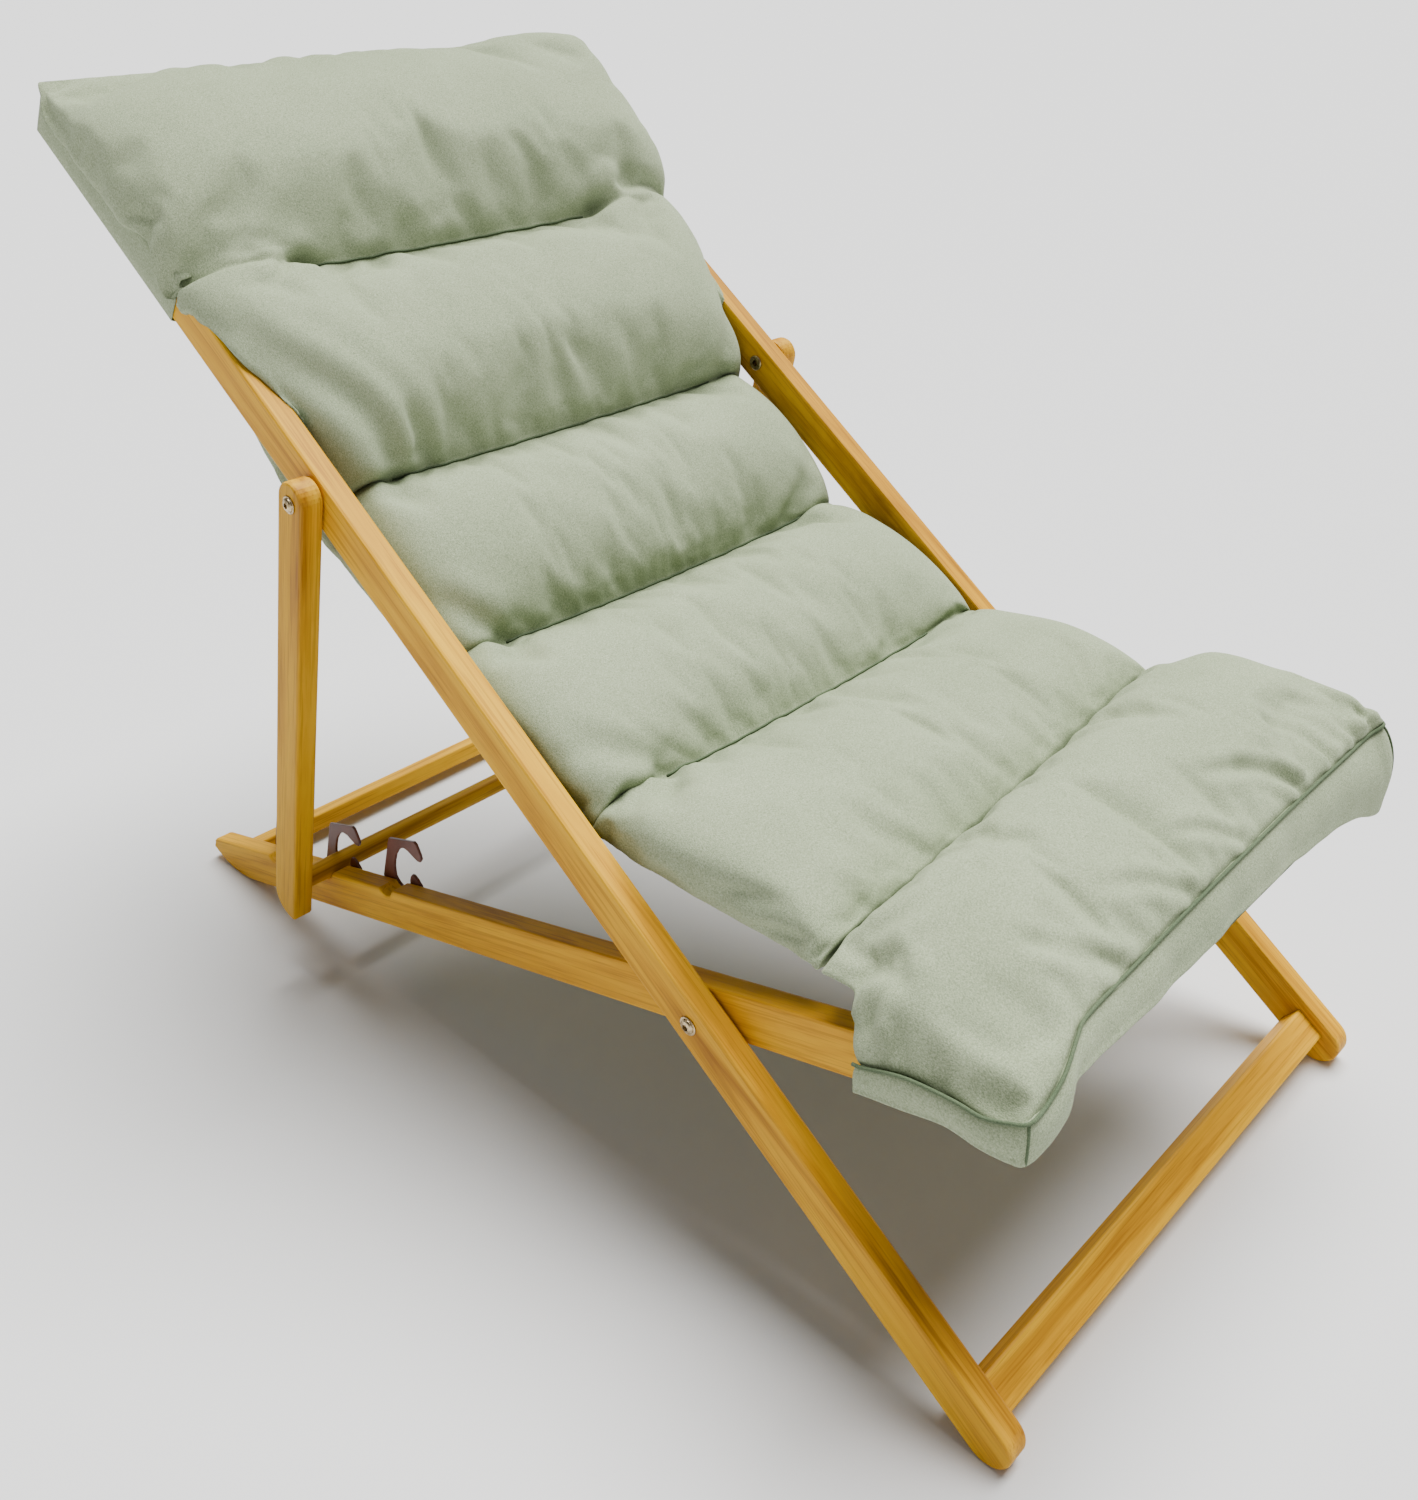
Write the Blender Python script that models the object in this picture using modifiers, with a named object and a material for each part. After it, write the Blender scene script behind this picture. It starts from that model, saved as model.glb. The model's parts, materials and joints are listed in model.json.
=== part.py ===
"""Folding deck chair: three hinged timber frames, a canvas sling and a quilted padded cover.

The chair faces -Y and stands on z = 0, with x = 0 in its plane of symmetry. Left and right
are the sitter's, so left is +X. The back frame runs from its front feet up to the head bar.
The seat frame lies inside it, from its rear feet up to the knee bar, and turns on two pivot
bolts. The prop frame hangs outside the back frame, and its dowel lies in a notch of the seat
rails, under the catch hooks. Units are metres and degrees.
"""

import math

import bmesh
import bpy
from mathutils import Matrix, Vector

# Lie of the chair on the ground
PIVOT_Y = -0.25945         # seat pivot, so that the chair is centred on x = y = 0
PIVOT_Z = 0.2285           # height of the seat pivot over the ground
BACK_ANGLE = 36.4          # back rails over the horizontal, towards the head
SEAT_ANGLE = -15.84        # seat rails over the horizontal, towards the rear feet

# Timber
RAIL_THICK = 0.022
BACK_RAIL_WIDE = 0.040
SEAT_RAIL_WIDE = 0.0418
PROP_RAIL_WIDE = 0.0344
EDGE_ROUND = 0.0025        # softened edges of the rails
FRAME_GAP = 0.002          # between one frame and the next, filled by a washer
BACK_OUTER_X = 0.290       # outer face of the back rails
DOWEL_RADIUS = 0.0105
DOWEL_LET_IN = 0.014       # how far the dowel goes into each prop rail
HOUSING_DEPTH = 0.010      # how far a cross bar is let into each rail
GAP = 0.0003               # air between touching pieces

# Places along the back rails, from the seat pivot towards the head
BACK_FOOT_END = -0.372
BACK_HEAD_END = 0.985
PROP_PIVOT_AT = 0.5308
FOOT_BAR = (-0.333, -0.003, 0.031, 0.026)      # along, above, wide, thick
HEAD_BAR = (0.955, -0.002, 0.030, 0.026)

# Places along the seat rails, from the seat pivot towards the rear feet
SEAT_KNEE_END = -0.283
SEAT_FOOT_END = 0.826
KNEE_BAR = (-0.2655, 0.0, 0.026, 0.024)        # along, above, wide, thick
REAR_BAR = (0.7765, 0.002, 0.026, 0.0195)
NOTCHES_AT = (0.4495, 0.5625, 0.6755)
REST_NOTCH = 1
NOTCH_RADIUS = 0.0115
NOTCH_DEPTH = 0.0070
NOTCH_LIP = 0.003

# Catch hooks
HOOK_THICK = 0.003
HOOK_SCREW_RADIUS = 0.0016
HOOK_SCREW_LENGTH = 0.012
HOOK_SCREWS = ((-0.024, -0.0115), (0.020, -0.0115))   # ahead of the notch, above the rail's top

# Pivot hardware
SHAFT_RADIUS = 0.003
BARREL_RADIUS = 0.0047
BORE_RADIUS = 0.0050
HEAD_RADIUS = 0.0080
GRIP = 0.046               # from under the bolt head to under the nut flange

# Soft parts
SLING_HALF_WIDTH = 0.232
SLING_THICK = 0.002
PANEL_HALF_WIDTH = 0.262   # panels that pass between the back rails
WIDE_HALF_WIDTH = 0.298    # panels that lie over the rails
HOOD_HALF_WIDTH = 0.2915   # just inside the folded prop frame
PANEL_GAP = 0.0008

BACK_OUT, BACK_IN = BACK_OUTER_X, BACK_OUTER_X - RAIL_THICK
SEAT_OUT = BACK_IN - FRAME_GAP
SEAT_IN = SEAT_OUT - RAIL_THICK
PROP_IN = BACK_OUT + FRAME_GAP
PROP_OUT = PROP_IN + RAIL_THICK
SEAT_TOP = SEAT_RAIL_WIDE / 2


# ---------------------------------------------------------------- small geometry helpers

def turn(point, degrees):
    """A point of the side view, turned about the origin."""
    c, s = math.cos(math.radians(degrees)), math.sin(math.radians(degrees))
    return (point[0] * c - point[1] * s, point[0] * s + point[1] * c)


def on_back(along, above):
    """Side-view place of a point of the back frame, measured from the seat pivot."""
    return turn((along, above), BACK_ANGLE)


def on_seat(along, above):
    """Side-view place of a point of the seat frame, measured from the seat pivot."""
    return turn((along, above), SEAT_ANGLE)


def arc(centre, radius, start, end, steps):
    """Points of an arc, from start to end in degrees."""
    angles = [math.radians(start + (end - start) * i / steps) for i in range(steps + 1)]
    return [(centre[0] + radius * math.cos(a), centre[1] + radius * math.sin(a)) for a in angles]


def smooth_path(points, steps):
    """Points of a Catmull-Rom curve through the given ones."""
    ends = [points[0], *points, points[-1]]
    out = []
    for i in range(len(points) - 1):
        a, b, c, d = (Vector(p) for p in ends[i:i + 4])
        for j in range(steps):
            t = j / steps
            p = 0.5 * (2 * b + (c - a) * t + (2 * a - 5 * b + 4 * c - d) * t ** 2
                       + (3 * b - a - 3 * c + d) * t ** 3)
            out.append((p.x, p.y))
    return out + [tuple(points[-1])]


def offset_path(points, distance):
    """The path moved sideways, to its left, by a distance."""
    out = []
    for i, p in enumerate(points):
        before, after = Vector(points[max(i - 1, 0)]), Vector(points[min(i + 1, len(points) - 1)])
        along = (after - before).normalized()
        out.append((p[0] - along.y * distance, p[1] + along.x * distance))
    return out


# ---------------------------------------------------------------- scene and materials

def start_scene():
    for old in list(bpy.data.objects):
        bpy.data.objects.remove(old, do_unlink=True)
    parts = bpy.data.collections.new("folding_deck_chair")
    cutters = bpy.data.collections.new("cutters")
    for collection in (parts, cutters):
        bpy.context.scene.collection.children.link(collection)
    return parts, cutters


def principled(name, colour, roughness, metallic=0.0):
    material = bpy.data.materials.new(name)
    material.use_nodes = True
    shader = material.node_tree.nodes["Principled BSDF"]
    shader.inputs["Base Color"].default_value = (*colour, 1.0)
    shader.inputs["Roughness"].default_value = roughness
    shader.inputs["Metallic"].default_value = metallic
    material.diffuse_color = (*colour, 1.0)
    return material


PARTS, CUTTERS = start_scene()
OAK = principled("oiled_hardwood", (0.60, 0.36, 0.13), 0.45)
BRASS = principled("bronzed_steel", (0.35, 0.27, 0.15), 0.30, 1.0)
HOOK_BROWN = principled("brown_nylon", (0.10, 0.025, 0.018), 0.40)
NYLON = principled("washer_nylon", (0.05, 0.05, 0.05), 0.50)
CANVAS = principled("sling_canvas", (0.20, 0.25, 0.16), 0.90)
COVER = principled("quilted_cover", (0.35, 0.42, 0.28), 0.90)


def frame_empty(name, place, angle):
    """An empty on a joint axis, whose local Y runs along its frame's rails."""
    empty = bpy.data.objects.new(name, None)
    PARTS.objects.link(empty)
    empty.location = (0.0, PIVOT_Y + place[0], PIVOT_Z + place[1])
    empty.rotation_euler = (math.radians(angle), 0.0, 0.0)
    return empty


def dowel_place():
    """Side-view place of the dowel's axis, resting in its notch."""
    bottom = SEAT_TOP - NOTCH_DEPTH
    return on_seat(NOTCHES_AT[REST_NOTCH], bottom + DOWEL_RADIUS + GAP)


PROP_PIVOT = on_back(PROP_PIVOT_AT, 0.0)
PROP_VECTOR = Vector(dowel_place()) - Vector(PROP_PIVOT)
PROP_ANGLE = math.degrees(math.atan2(PROP_VECTOR.y, PROP_VECTOR.x))
DOWEL_AT = PROP_VECTOR.length

SIDE = frame_empty("side_view_axis", (0.0, 0.0), 0.0)
BACK = frame_empty("back_frame_axis", (0.0, 0.0), BACK_ANGLE)
SEAT = frame_empty("seat_frame_axis", (0.0, 0.0), SEAT_ANGLE)
PROP = frame_empty("prop_frame_axis", PROP_PIVOT, PROP_ANGLE)


# ---------------------------------------------------------------- makers of single pieces

def place(obj, frame, material=None, cutter=False):
    """Hangs an object on its frame, in the right collection."""
    for collection in list(obj.users_collection):
        collection.objects.unlink(obj)
    (CUTTERS if cutter else PARTS).objects.link(obj)
    obj.parent = frame
    if cutter:
        obj.hide_render = True
        obj.display_type = "WIRE"
    else:
        obj.data.materials.append(material)
    return obj


def smooth_shading(mesh, sharp_degrees=35):
    mesh.shade_smooth()
    mesh.set_sharp_from_angle(angle=math.radians(sharp_degrees))


def side_outline(name, outline, x_low, x_high, edge_round, frame, material, rings=1):
    """A flat piece: a closed outline of the frame's side view, as thick as x_low to x_high."""
    curve = bpy.data.curves.new(name, "CURVE")
    curve.dimensions = "2D"
    curve.fill_mode = "BOTH"
    curve.extrude = (x_high - x_low) / 2 - edge_round
    curve.bevel_depth = edge_round
    curve.bevel_resolution = rings
    curve.offset = -edge_round
    spline = curve.splines.new("POLY")
    spline.points.add(len(outline) - 1)
    for point, (along, above) in zip(spline.points, outline):
        point.co = (along, above, 0.0, 1.0)
    spline.use_cyclic_u = True
    guide = bpy.data.objects.new(name + "_guide", curve)
    PARTS.objects.link(guide)
    bpy.context.view_layer.update()
    graph = bpy.context.evaluated_depsgraph_get()
    mesh = bpy.data.meshes.new_from_object(guide.evaluated_get(graph))
    bpy.data.objects.remove(guide)
    # curve x, y and z become the frame's y, z and x
    mesh.transform(Matrix(((0, 0, 1, (x_low + x_high) / 2), (1, 0, 0, 0), (0, 1, 0, 0), (0, 0, 0, 1))))
    body = bmesh.new()
    body.from_mesh(mesh)
    bmesh.ops.remove_doubles(body, verts=body.verts, dist=0.00002)
    bmesh.ops.recalc_face_normals(body, faces=body.faces)
    body.to_mesh(mesh)
    body.free()
    mesh.name = name
    mesh.materials.clear()
    smooth_shading(mesh)
    return place(bpy.data.objects.new(name, mesh), frame, material)


def block(name, size, centre, frame, edge_round, material=None, cutter=False):
    """A straight bar with softened edges."""
    bpy.ops.mesh.primitive_cube_add(size=1.0)
    obj = bpy.context.object
    obj.name = name
    obj.data.transform(Matrix.Diagonal((*size, 1.0)))
    obj.location = centre
    bevel = obj.modifiers.new("soft_edges", "BEVEL")
    bevel.width = edge_round
    bevel.segments = 2
    return place(obj, frame, material, cutter)


def cross_holes(name, holes, frame):
    """One cutter of several cylinders along X. A hole is (along, above, x_low, x_high, radius)."""
    body = bmesh.new()
    for along, above, x_low, x_high, radius in holes:
        turn_to_x = Matrix.Rotation(math.radians(90), 4, "Y")
        move = Matrix.Translation(((x_low + x_high) / 2, along, above))
        bmesh.ops.create_cone(body, cap_ends=True, segments=20, radius1=radius, radius2=radius,
                              depth=x_high - x_low, matrix=move @ turn_to_x)
    mesh = bpy.data.meshes.new(name)
    body.to_mesh(mesh)
    body.free()
    return place(bpy.data.objects.new(name, mesh), frame, cutter=True)


def cut(obj, cutter):
    boolean = obj.modifiers.new(cutter.name, "BOOLEAN")
    boolean.operation = "DIFFERENCE"
    boolean.solver = "EXACT"
    boolean.object = cutter


def turned(name, profile, closed, centre, outward, frame, material, steps=24):
    """A turned piece, its axis along X. The profile is (radius, height) down its outer side."""
    mesh = bpy.data.meshes.new(name)
    count = len(profile)
    edges = [(i, i + 1) for i in range(count - 1)] + ([(count - 1, 0)] if closed else [])
    mesh.from_pydata([(radius, 0.0, height) for radius, height in profile], edges, [])
    obj = bpy.data.objects.new(name, mesh)
    obj.location = centre
    obj.rotation_euler = (0.0, math.radians(90 * outward), 0.0)
    screw = obj.modifiers.new("turn", "SCREW")
    screw.axis = "Z"
    screw.steps = steps
    screw.render_steps = steps
    screw.use_merge_vertices = True
    screw.merge_threshold = 0.00001
    screw.use_smooth_shade = True
    return place(obj, frame, material)


# ---------------------------------------------------------------- timber

def ground_cutter():
    """Trims each foot to a narrow level face on the ground."""
    return block("ground_cutter", (0.8, 1.6, 0.1), (0.0, 0.3, -PIVOT_Z - 0.05), SIDE, 0.001, cutter=True)


def rail_pair(name, outline, x_low, x_high, frame, holes, cutters=()):
    """A left and a right rail, cut by the holes of the left one mirrored to the right."""
    rails = {}
    for side, sign in (("left", 1), ("right", -1)):
        low, high = sorted((sign * x_low, sign * x_high))
        rail = side_outline(f"{name}_{side}", outline, low, high, EDGE_ROUND, frame, OAK)
        mirrored = [(a, b, *sorted((sign * c, sign * d)), r) for a, b, c, d, r in holes]
        cut(rail, cross_holes(f"{name}_{side}_holes", mirrored, frame))
        for cutter in cutters:
            cut(rail, cutter)
        rails[side] = rail
    return rails


def back_rail_outline():
    half = BACK_RAIL_WIDE / 2
    corner = 0.008
    foot = arc((BACK_FOOT_END + half, 0.0), half, 90, 270, 16)
    head_low = arc((BACK_HEAD_END - corner, corner - half), corner, -90, 0, 3)
    head_high = arc((BACK_HEAD_END - corner, half - corner), corner, 0, 90, 3)
    return foot + head_low + head_high


def seat_rail_outline():
    """The seat rail: notched along its top, with a long round underside to its rear foot."""
    top, foot_round, nose = SEAT_TOP, 0.105, 0.007
    corner = 0.008
    knee = arc((SEAT_KNEE_END + corner, top - corner), corner, 90, 180, 3)
    knee += arc((SEAT_KNEE_END + corner, corner - top), corner, 180, 270, 3)
    centre = (SEAT_FOOT_END - 0.076, foot_round - top)
    sweep = math.degrees(math.asin((SEAT_FOOT_END - nose * 0.2 - centre[0]) / foot_round))
    underside = arc(centre, foot_round, -90, sweep - 90, 12)
    tip = arc((SEAT_FOOT_END - nose - 0.006, top - nose), nose, 15, 90, 4)
    outline = knee + underside + tip
    for at in reversed(NOTCHES_AT):
        outline += notch(at)
    return outline


def notch(at):
    """One half-round notch with softened lips, from its rear lip to its front one."""
    centre = (at, SEAT_TOP - NOTCH_DEPTH + NOTCH_RADIUS)
    lip_y = SEAT_TOP - NOTCH_LIP
    reach = NOTCH_RADIUS + NOTCH_LIP
    half = math.sqrt(reach ** 2 - (centre[1] - lip_y) ** 2)
    touch = math.degrees(math.atan2(centre[1] - lip_y, half))
    rear = arc((at + half, lip_y), NOTCH_LIP, 90, 180 - touch, 3)
    front = arc((at - half, lip_y), NOTCH_LIP, touch, 90, 3)
    bowl = arc(centre, NOTCH_RADIUS, -touch, touch - 180, 10)
    return rear + bowl[1:-1] + front


def prop_rail_outline():
    """The prop rail: round at its pivot, with its lower rear corner swept away."""
    half, sweep, corner = PROP_RAIL_WIDE / 2, 0.025, 0.003
    end = DOWEL_AT + 0.034
    top = arc((half - 0.0195, 0.0), half, 90, 270, 14)
    front = arc((end - corner, corner - half), corner, -90, 0, 2)
    rear = arc((end - sweep, half - sweep), sweep, 0, 90, 7)
    return top + front + rear


def bar(name, section, inner_x, frame):
    """A cross bar let into both rails, and the cutter that houses it."""
    along, above, wide, thick = section
    length = 2 * (inner_x + HOUSING_DEPTH)
    centre = (0.0, along, above)
    block(name, (length, wide, thick), centre, frame, 0.002, OAK)
    room = (length + 2 * GAP, wide + 2 * GAP, thick + 2 * GAP)
    return block(name + "_housing", room, centre, frame, 0.002, cutter=True)


def back_frame(ground):
    housings = [
        bar("foot_bar", FOOT_BAR, BACK_IN, BACK),
        bar("head_bar", HEAD_BAR, BACK_IN, BACK),
    ]
    through = (BACK_IN - 0.01, BACK_OUT + 0.01, BORE_RADIUS)
    holes = [(0.0, 0.0, *through), (PROP_PIVOT_AT, 0.0, *through)]
    rail_pair("back_rail", back_rail_outline(), BACK_IN, BACK_OUT, BACK, holes, [*housings, ground])


def seat_frame(ground):
    housings = [
        bar("rear_bar", REAR_BAR, SEAT_IN, SEAT),
        bar("knee_bar", KNEE_BAR, SEAT_IN, SEAT),
    ]
    holes = [(0.0, 0.0, SEAT_IN - 0.01, SEAT_OUT + 0.01, BORE_RADIUS)]
    holes += [(along, above, SEAT_IN - 0.01, SEAT_IN + HOOK_SCREW_LENGTH, HOOK_SCREW_RADIUS + GAP)
              for along, above in hook_screw_places()]
    rail_pair("seat_rail", seat_rail_outline(), SEAT_IN, SEAT_OUT, SEAT, holes, [*housings, ground])


def prop_frame():
    holes = [
        (0.0, 0.0, PROP_IN - 0.01, PROP_OUT + 0.01, BORE_RADIUS),
        (DOWEL_AT, 0.0, PROP_IN - 0.01, PROP_IN + DOWEL_LET_IN + GAP, DOWEL_RADIUS + GAP),
    ]
    rail_pair("prop_rail", prop_rail_outline(), PROP_IN, PROP_OUT, PROP, holes)
    bpy.ops.mesh.primitive_cylinder_add(vertices=32, radius=DOWEL_RADIUS,
                                        depth=2 * (PROP_IN + DOWEL_LET_IN))
    dowel = bpy.context.object
    dowel.name = "prop_dowel"
    dowel.data.transform(Matrix.Rotation(math.radians(90), 4, "Y"))
    smooth_shading(dowel.data)
    dowel.location = (0.0, DOWEL_AT, 0.0)
    place(dowel, PROP, OAK)


# ---------------------------------------------------------------- catch hooks

def hook_screw_places():
    return [(at - ahead, SEAT_TOP + above) for at in NOTCHES_AT for ahead, above in HOOK_SCREWS]


def hook_outline(at):
    """A plate around the notch: a leaning post, an arm over the dowel and a spur ahead of it."""
    shape = [
        (-0.037, -0.018), (0.030, -0.018), (0.0305, -0.002), (0.0265, 0.0050), (0.0225, 0.0088),
        (0.0195, 0.0090), (0.0160, 0.0062),
    ]
    shape += arc((0.0, NOTCH_RADIUS - NOTCH_DEPTH), NOTCH_RADIUS + 0.0018, -10, -172, 10)
    shape += [
        (-0.0105, 0.0125), (-0.0062, 0.0200), (-0.0005, 0.0275), (0.0057, 0.0330),
        (0.0125, 0.0368), (0.0183, 0.0375), (0.0245, 0.0355), (0.0310, 0.0305),
        (0.0375, 0.0262), (0.0415, 0.0258), (0.0450, 0.0290), (0.0455, 0.0340),
        (0.0432, 0.0450), (0.0405, 0.0475), (-0.0045, 0.0452), (-0.0075, 0.0425),
        (-0.0355, 0.0010),
    ]
    return [(at - ahead, SEAT_TOP + above) for ahead, above in shape]


def screw_profile(length):
    shank, head, high = HOOK_SCREW_RADIUS, 0.0032, 0.0016
    return [(0.0, high), (head * 0.6, high * 0.92), (head * 0.92, high * 0.55), (head, 0.0),
            (shank, 0.0), (shank, -length), (0.0, -length - 0.001)]


def catch_hooks():
    """Six nylon hooks, one inside each notch, and the two screws of each."""
    for side, sign in (("left", 1), ("right", -1)):
        near, far = sign * (SEAT_IN - GAP), sign * (SEAT_IN - GAP - HOOK_THICK)
        low, high = sorted((near, far))
        places = hook_screw_places()
        holes = [(along, above, low - 0.01, high + 0.01, HOOK_SCREW_RADIUS + GAP)
                 for along, above in places]
        cutter = cross_holes(f"hook_holes_{side}", holes, SEAT)
        for number, at in enumerate(NOTCHES_AT, 1):
            hook = side_outline(f"catch_hook_{side}_{number}", hook_outline(at), low, high,
                                0.0004, SEAT, HOOK_BROWN, rings=0)
            cut(hook, cutter)
        head_x = sign * (SEAT_IN - HOOK_THICK - 2 * GAP)
        for number, (along, above) in enumerate(places, 1):
            turned(f"hook_screw_{side}_{number}", screw_profile(HOOK_SCREW_LENGTH), False,
                   (head_x, along, above), -sign, SEAT, BRASS, steps=12)


# ---------------------------------------------------------------- pivot hardware

def bolt_profile():
    """A domed head on a wide flange, down to the end of the shaft."""
    flange, dome, high = 0.0009, 0.0064, 0.0036
    crown = [(dome * math.sin(math.radians(a)), flange + (high - flange) * math.cos(math.radians(a)))
             for a in (0, 25, 50, 75, 90)]
    return crown + [(HEAD_RADIUS - 0.0004, flange), (HEAD_RADIUS, flange - 0.0003), (HEAD_RADIUS, 0.0),
                    (SHAFT_RADIUS, 0.0), (SHAFT_RADIUS, 0.006 - GRIP), (0.0, 0.006 - GRIP)]


def nut_profile():
    """A flanged sleeve nut, as the loop of its wall."""
    flange, inner = 0.0020, SHAFT_RADIUS + GAP
    return [(inner, flange), (HEAD_RADIUS - 0.0008, flange), (HEAD_RADIUS, flange - 0.0006),
            (HEAD_RADIUS, 0.0), (BARREL_RADIUS, 0.0), (BARREL_RADIUS, 0.008 - GRIP), (inner, 0.008 - GRIP)]


def washer_profile():
    half, inner, outer = FRAME_GAP / 2 - GAP, BORE_RADIUS + 0.0003, 0.0095
    return [(inner, half), (outer, half), (outer, -half), (inner, -half)]


def pivot_hardware(name, frame, along, outer_x):
    """Bolt, sleeve nut and washer at both sides of one pivot."""
    for side, sign in (("left", 1), ("right", -1)):
        head = (sign * (outer_x + GAP), along, 0.0)
        bolt = turned(f"{name}_bolt_{side}", bolt_profile(), False, head, sign, frame, BRASS)
        socket = bpy.data.meshes.new(f"{name}_socket_{side}")
        hexagon = bmesh.new()
        bmesh.ops.create_cone(hexagon, cap_ends=True, segments=6, radius1=0.0029, radius2=0.0029, depth=0.005)
        hexagon.to_mesh(socket)
        hexagon.free()
        cutter = bpy.data.objects.new(socket.name, socket)
        cutter.rotation_euler = (0.0, math.radians(90), 0.0)
        cutter.location = (head[0] + sign * 0.0038, along, 0.0)
        cut(bolt, place(cutter, frame, cutter=True))
        nut = (sign * (outer_x - GRIP - GAP), along, 0.0)
        turned(f"{name}_nut_{side}", nut_profile(), True, nut, -sign, frame, BRASS)
        middle = (sign * (outer_x - RAIL_THICK - FRAME_GAP / 2), along, 0.0)
        turned(f"{name}_washer_{side}", washer_profile(), True, middle, sign, frame, NYLON)


# ---------------------------------------------------------------- sling and cover

# Free span of the sling, from the knee bar to the head bar, in the side view from the pivot
SLING_SPAN = (
    (-0.200, 0.082), (-0.135, 0.0745), (-0.040, 0.0705), (0.090, 0.0715), (0.200, 0.0935),
    (0.310, 0.1400), (0.420, 0.2110), (0.500, 0.2690), (0.570, 0.3300), (0.650, 0.4180),
)
# Cross seams on the top of the cover, from the knees to the head
SEAM_TOPS = ((-0.094, 0.1140), (0.126, 0.1220), (0.306, 0.1880), (0.438, 0.3050), (0.583, 0.4640))
PANEL_NAMES = ("seat_front_panel", "seat_rear_panel", "lower_back_panel", "upper_back_panel")
CROWNS = (0.022, 0.030, 0.036, 0.044)


def wrap(at, above, wide, thick, toward):
    """Frame-side places of the sling's turn round a bar, from under its middle to over it."""
    reach = at + toward * (wide / 2 + 0.0020)
    high = thick / 2 + 0.0016
    low_corner = [(reach - toward * 0.003, above - high), (reach, above - high + 0.003)]
    high_corner = [(reach, above + high - 0.003), (reach - toward * 0.003, above + high)]
    return [(at, above - high), *low_corner, *high_corner, (at, above + high)]


def free_span():
    """The sling's middle line between the two bars, from the knees to the head."""
    knee_top, head_low = on_seat(*wrap(*KNEE_BAR, -1)[-1]), on_back(*wrap(*HEAD_BAR, 1)[0])
    return smooth_path([knee_top, *SLING_SPAN, head_low], 3)


def sling():
    """The canvas strip, sewn round both bars."""
    knee = [on_seat(*p) for p in wrap(*KNEE_BAR, -1)]
    head = [on_back(*p) for p in wrap(*HEAD_BAR, 1)]
    line = knee[:-1] + free_span() + head[1:]
    outline = offset_path(line, -SLING_THICK / 2) + offset_path(line, SLING_THICK / 2)[::-1]
    side_outline("sling", outline, -SLING_HALF_WIDTH, SLING_HALF_WIDTH, 0.0, SIDE, CANVAS)


def panel_outline(low, high, crown):
    """One stuffed channel between two seams: it rests on the sling and crowns over its chord."""
    floor = [Vector(p) for p in offset_path(free_span(), SLING_THICK / 2 + 0.001)]
    start, end = Vector(low), Vector(high)
    first = min(range(len(floor)), key=lambda i: (floor[i] - start).length)
    last = min(range(len(floor)), key=lambda i: (floor[i] - end).length)
    along = (end - start).normalized()
    across = Vector((-along.y, along.x))
    trim = along * (PANEL_GAP / 2)
    roof = []
    for i in range(13):
        share = i / 12
        rise = crown * math.sin(math.pi * share) ** 0.7
        roof.append(start + (end - start) * share + across * rise)
    base = floor[first:last + 1]
    loop = [roof[0] + trim, *roof[1:-1], roof[-1] - trim]
    loop += [base[-1] - trim, *base[-2:0:-1], base[0] + trim]
    return [(p.x, p.y) for p in loop]


def middle_panels():
    """The four stuffed panels that pass between the back rails."""
    for name, low, high, crown in zip(PANEL_NAMES, SEAM_TOPS, SEAM_TOPS[1:], CROWNS):
        side_outline(name, panel_outline(low, high, crown), -PANEL_HALF_WIDTH, PANEL_HALF_WIDTH,
                     0.004, SIDE, COVER)


def head_panel():
    """The headrest panel on the rails, and the hood that slips over the head end."""
    low = BACK_RAIL_WIDE / 2 + 0.0015
    roof = [(0.7495, 0.036), (0.775, 0.062), (0.830, 0.076), (0.890, 0.077), (0.950, 0.068),
            (0.990, 0.048), (1.004, 0.030)]
    outline = [(1.004, low), (0.7495, low)] + roof
    side_outline("head_panel", outline[::-1], -WIDE_HALF_WIDTH, WIDE_HALF_WIDTH, 0.004, BACK, COVER)
    end_low, end_high = BACK_HEAD_END + 0.004, 1.004
    block("hood_end", (2 * HOOD_HALF_WIDTH, end_high - end_low, 0.046),
          (0.0, (end_low + end_high) / 2, -0.0035), BACK, 0.004, COVER)
    back_line = [(0.764, -0.0580), (0.800, -0.0490), (0.870, -0.0360), (0.930, -0.0270), (0.988, -0.0247)]
    back_outline = offset_path(back_line, -0.0015) + offset_path(back_line, 0.0015)[::-1]
    side_outline("hood_back", back_outline, -HOOD_HALF_WIDTH, HOOD_HALF_WIDTH, 0.0, BACK, COVER)


def knee_panel():
    """The panel over the knee end, and the boxed band that hangs round it."""
    low = SEAT_TOP + 0.0015
    outline = [(-0.302, low), (-0.302, 0.046), (-0.290, 0.062), (-0.250, 0.078), (-0.190, 0.086),
               (-0.140, 0.084), (-0.1255, 0.0800), (-0.1235, 0.0480), (-0.150, 0.0390), (-0.215, 0.0280),
               (-0.240, low)]
    side_outline("knee_panel", outline, -WIDE_HALF_WIDTH, WIDE_HALF_WIDTH, 0.004, SEAT, COVER)
    band_low, band_high = -0.0215, low - 0.0006
    high, middle = band_high - band_low, (band_high + band_low) / 2
    block("knee_band_front", (2 * WIDE_HALF_WIDTH, 0.012, high), (0.0, -0.2945, middle), SEAT, 0.003, COVER)
    for side, sign in (("left", 1), ("right", -1)):
        centre = (sign * (WIDE_HALF_WIDTH - 0.006), -0.224, middle)
        block(f"knee_band_{side}", (0.012, 0.128, high), centre, SEAT, 0.003, COVER)


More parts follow.
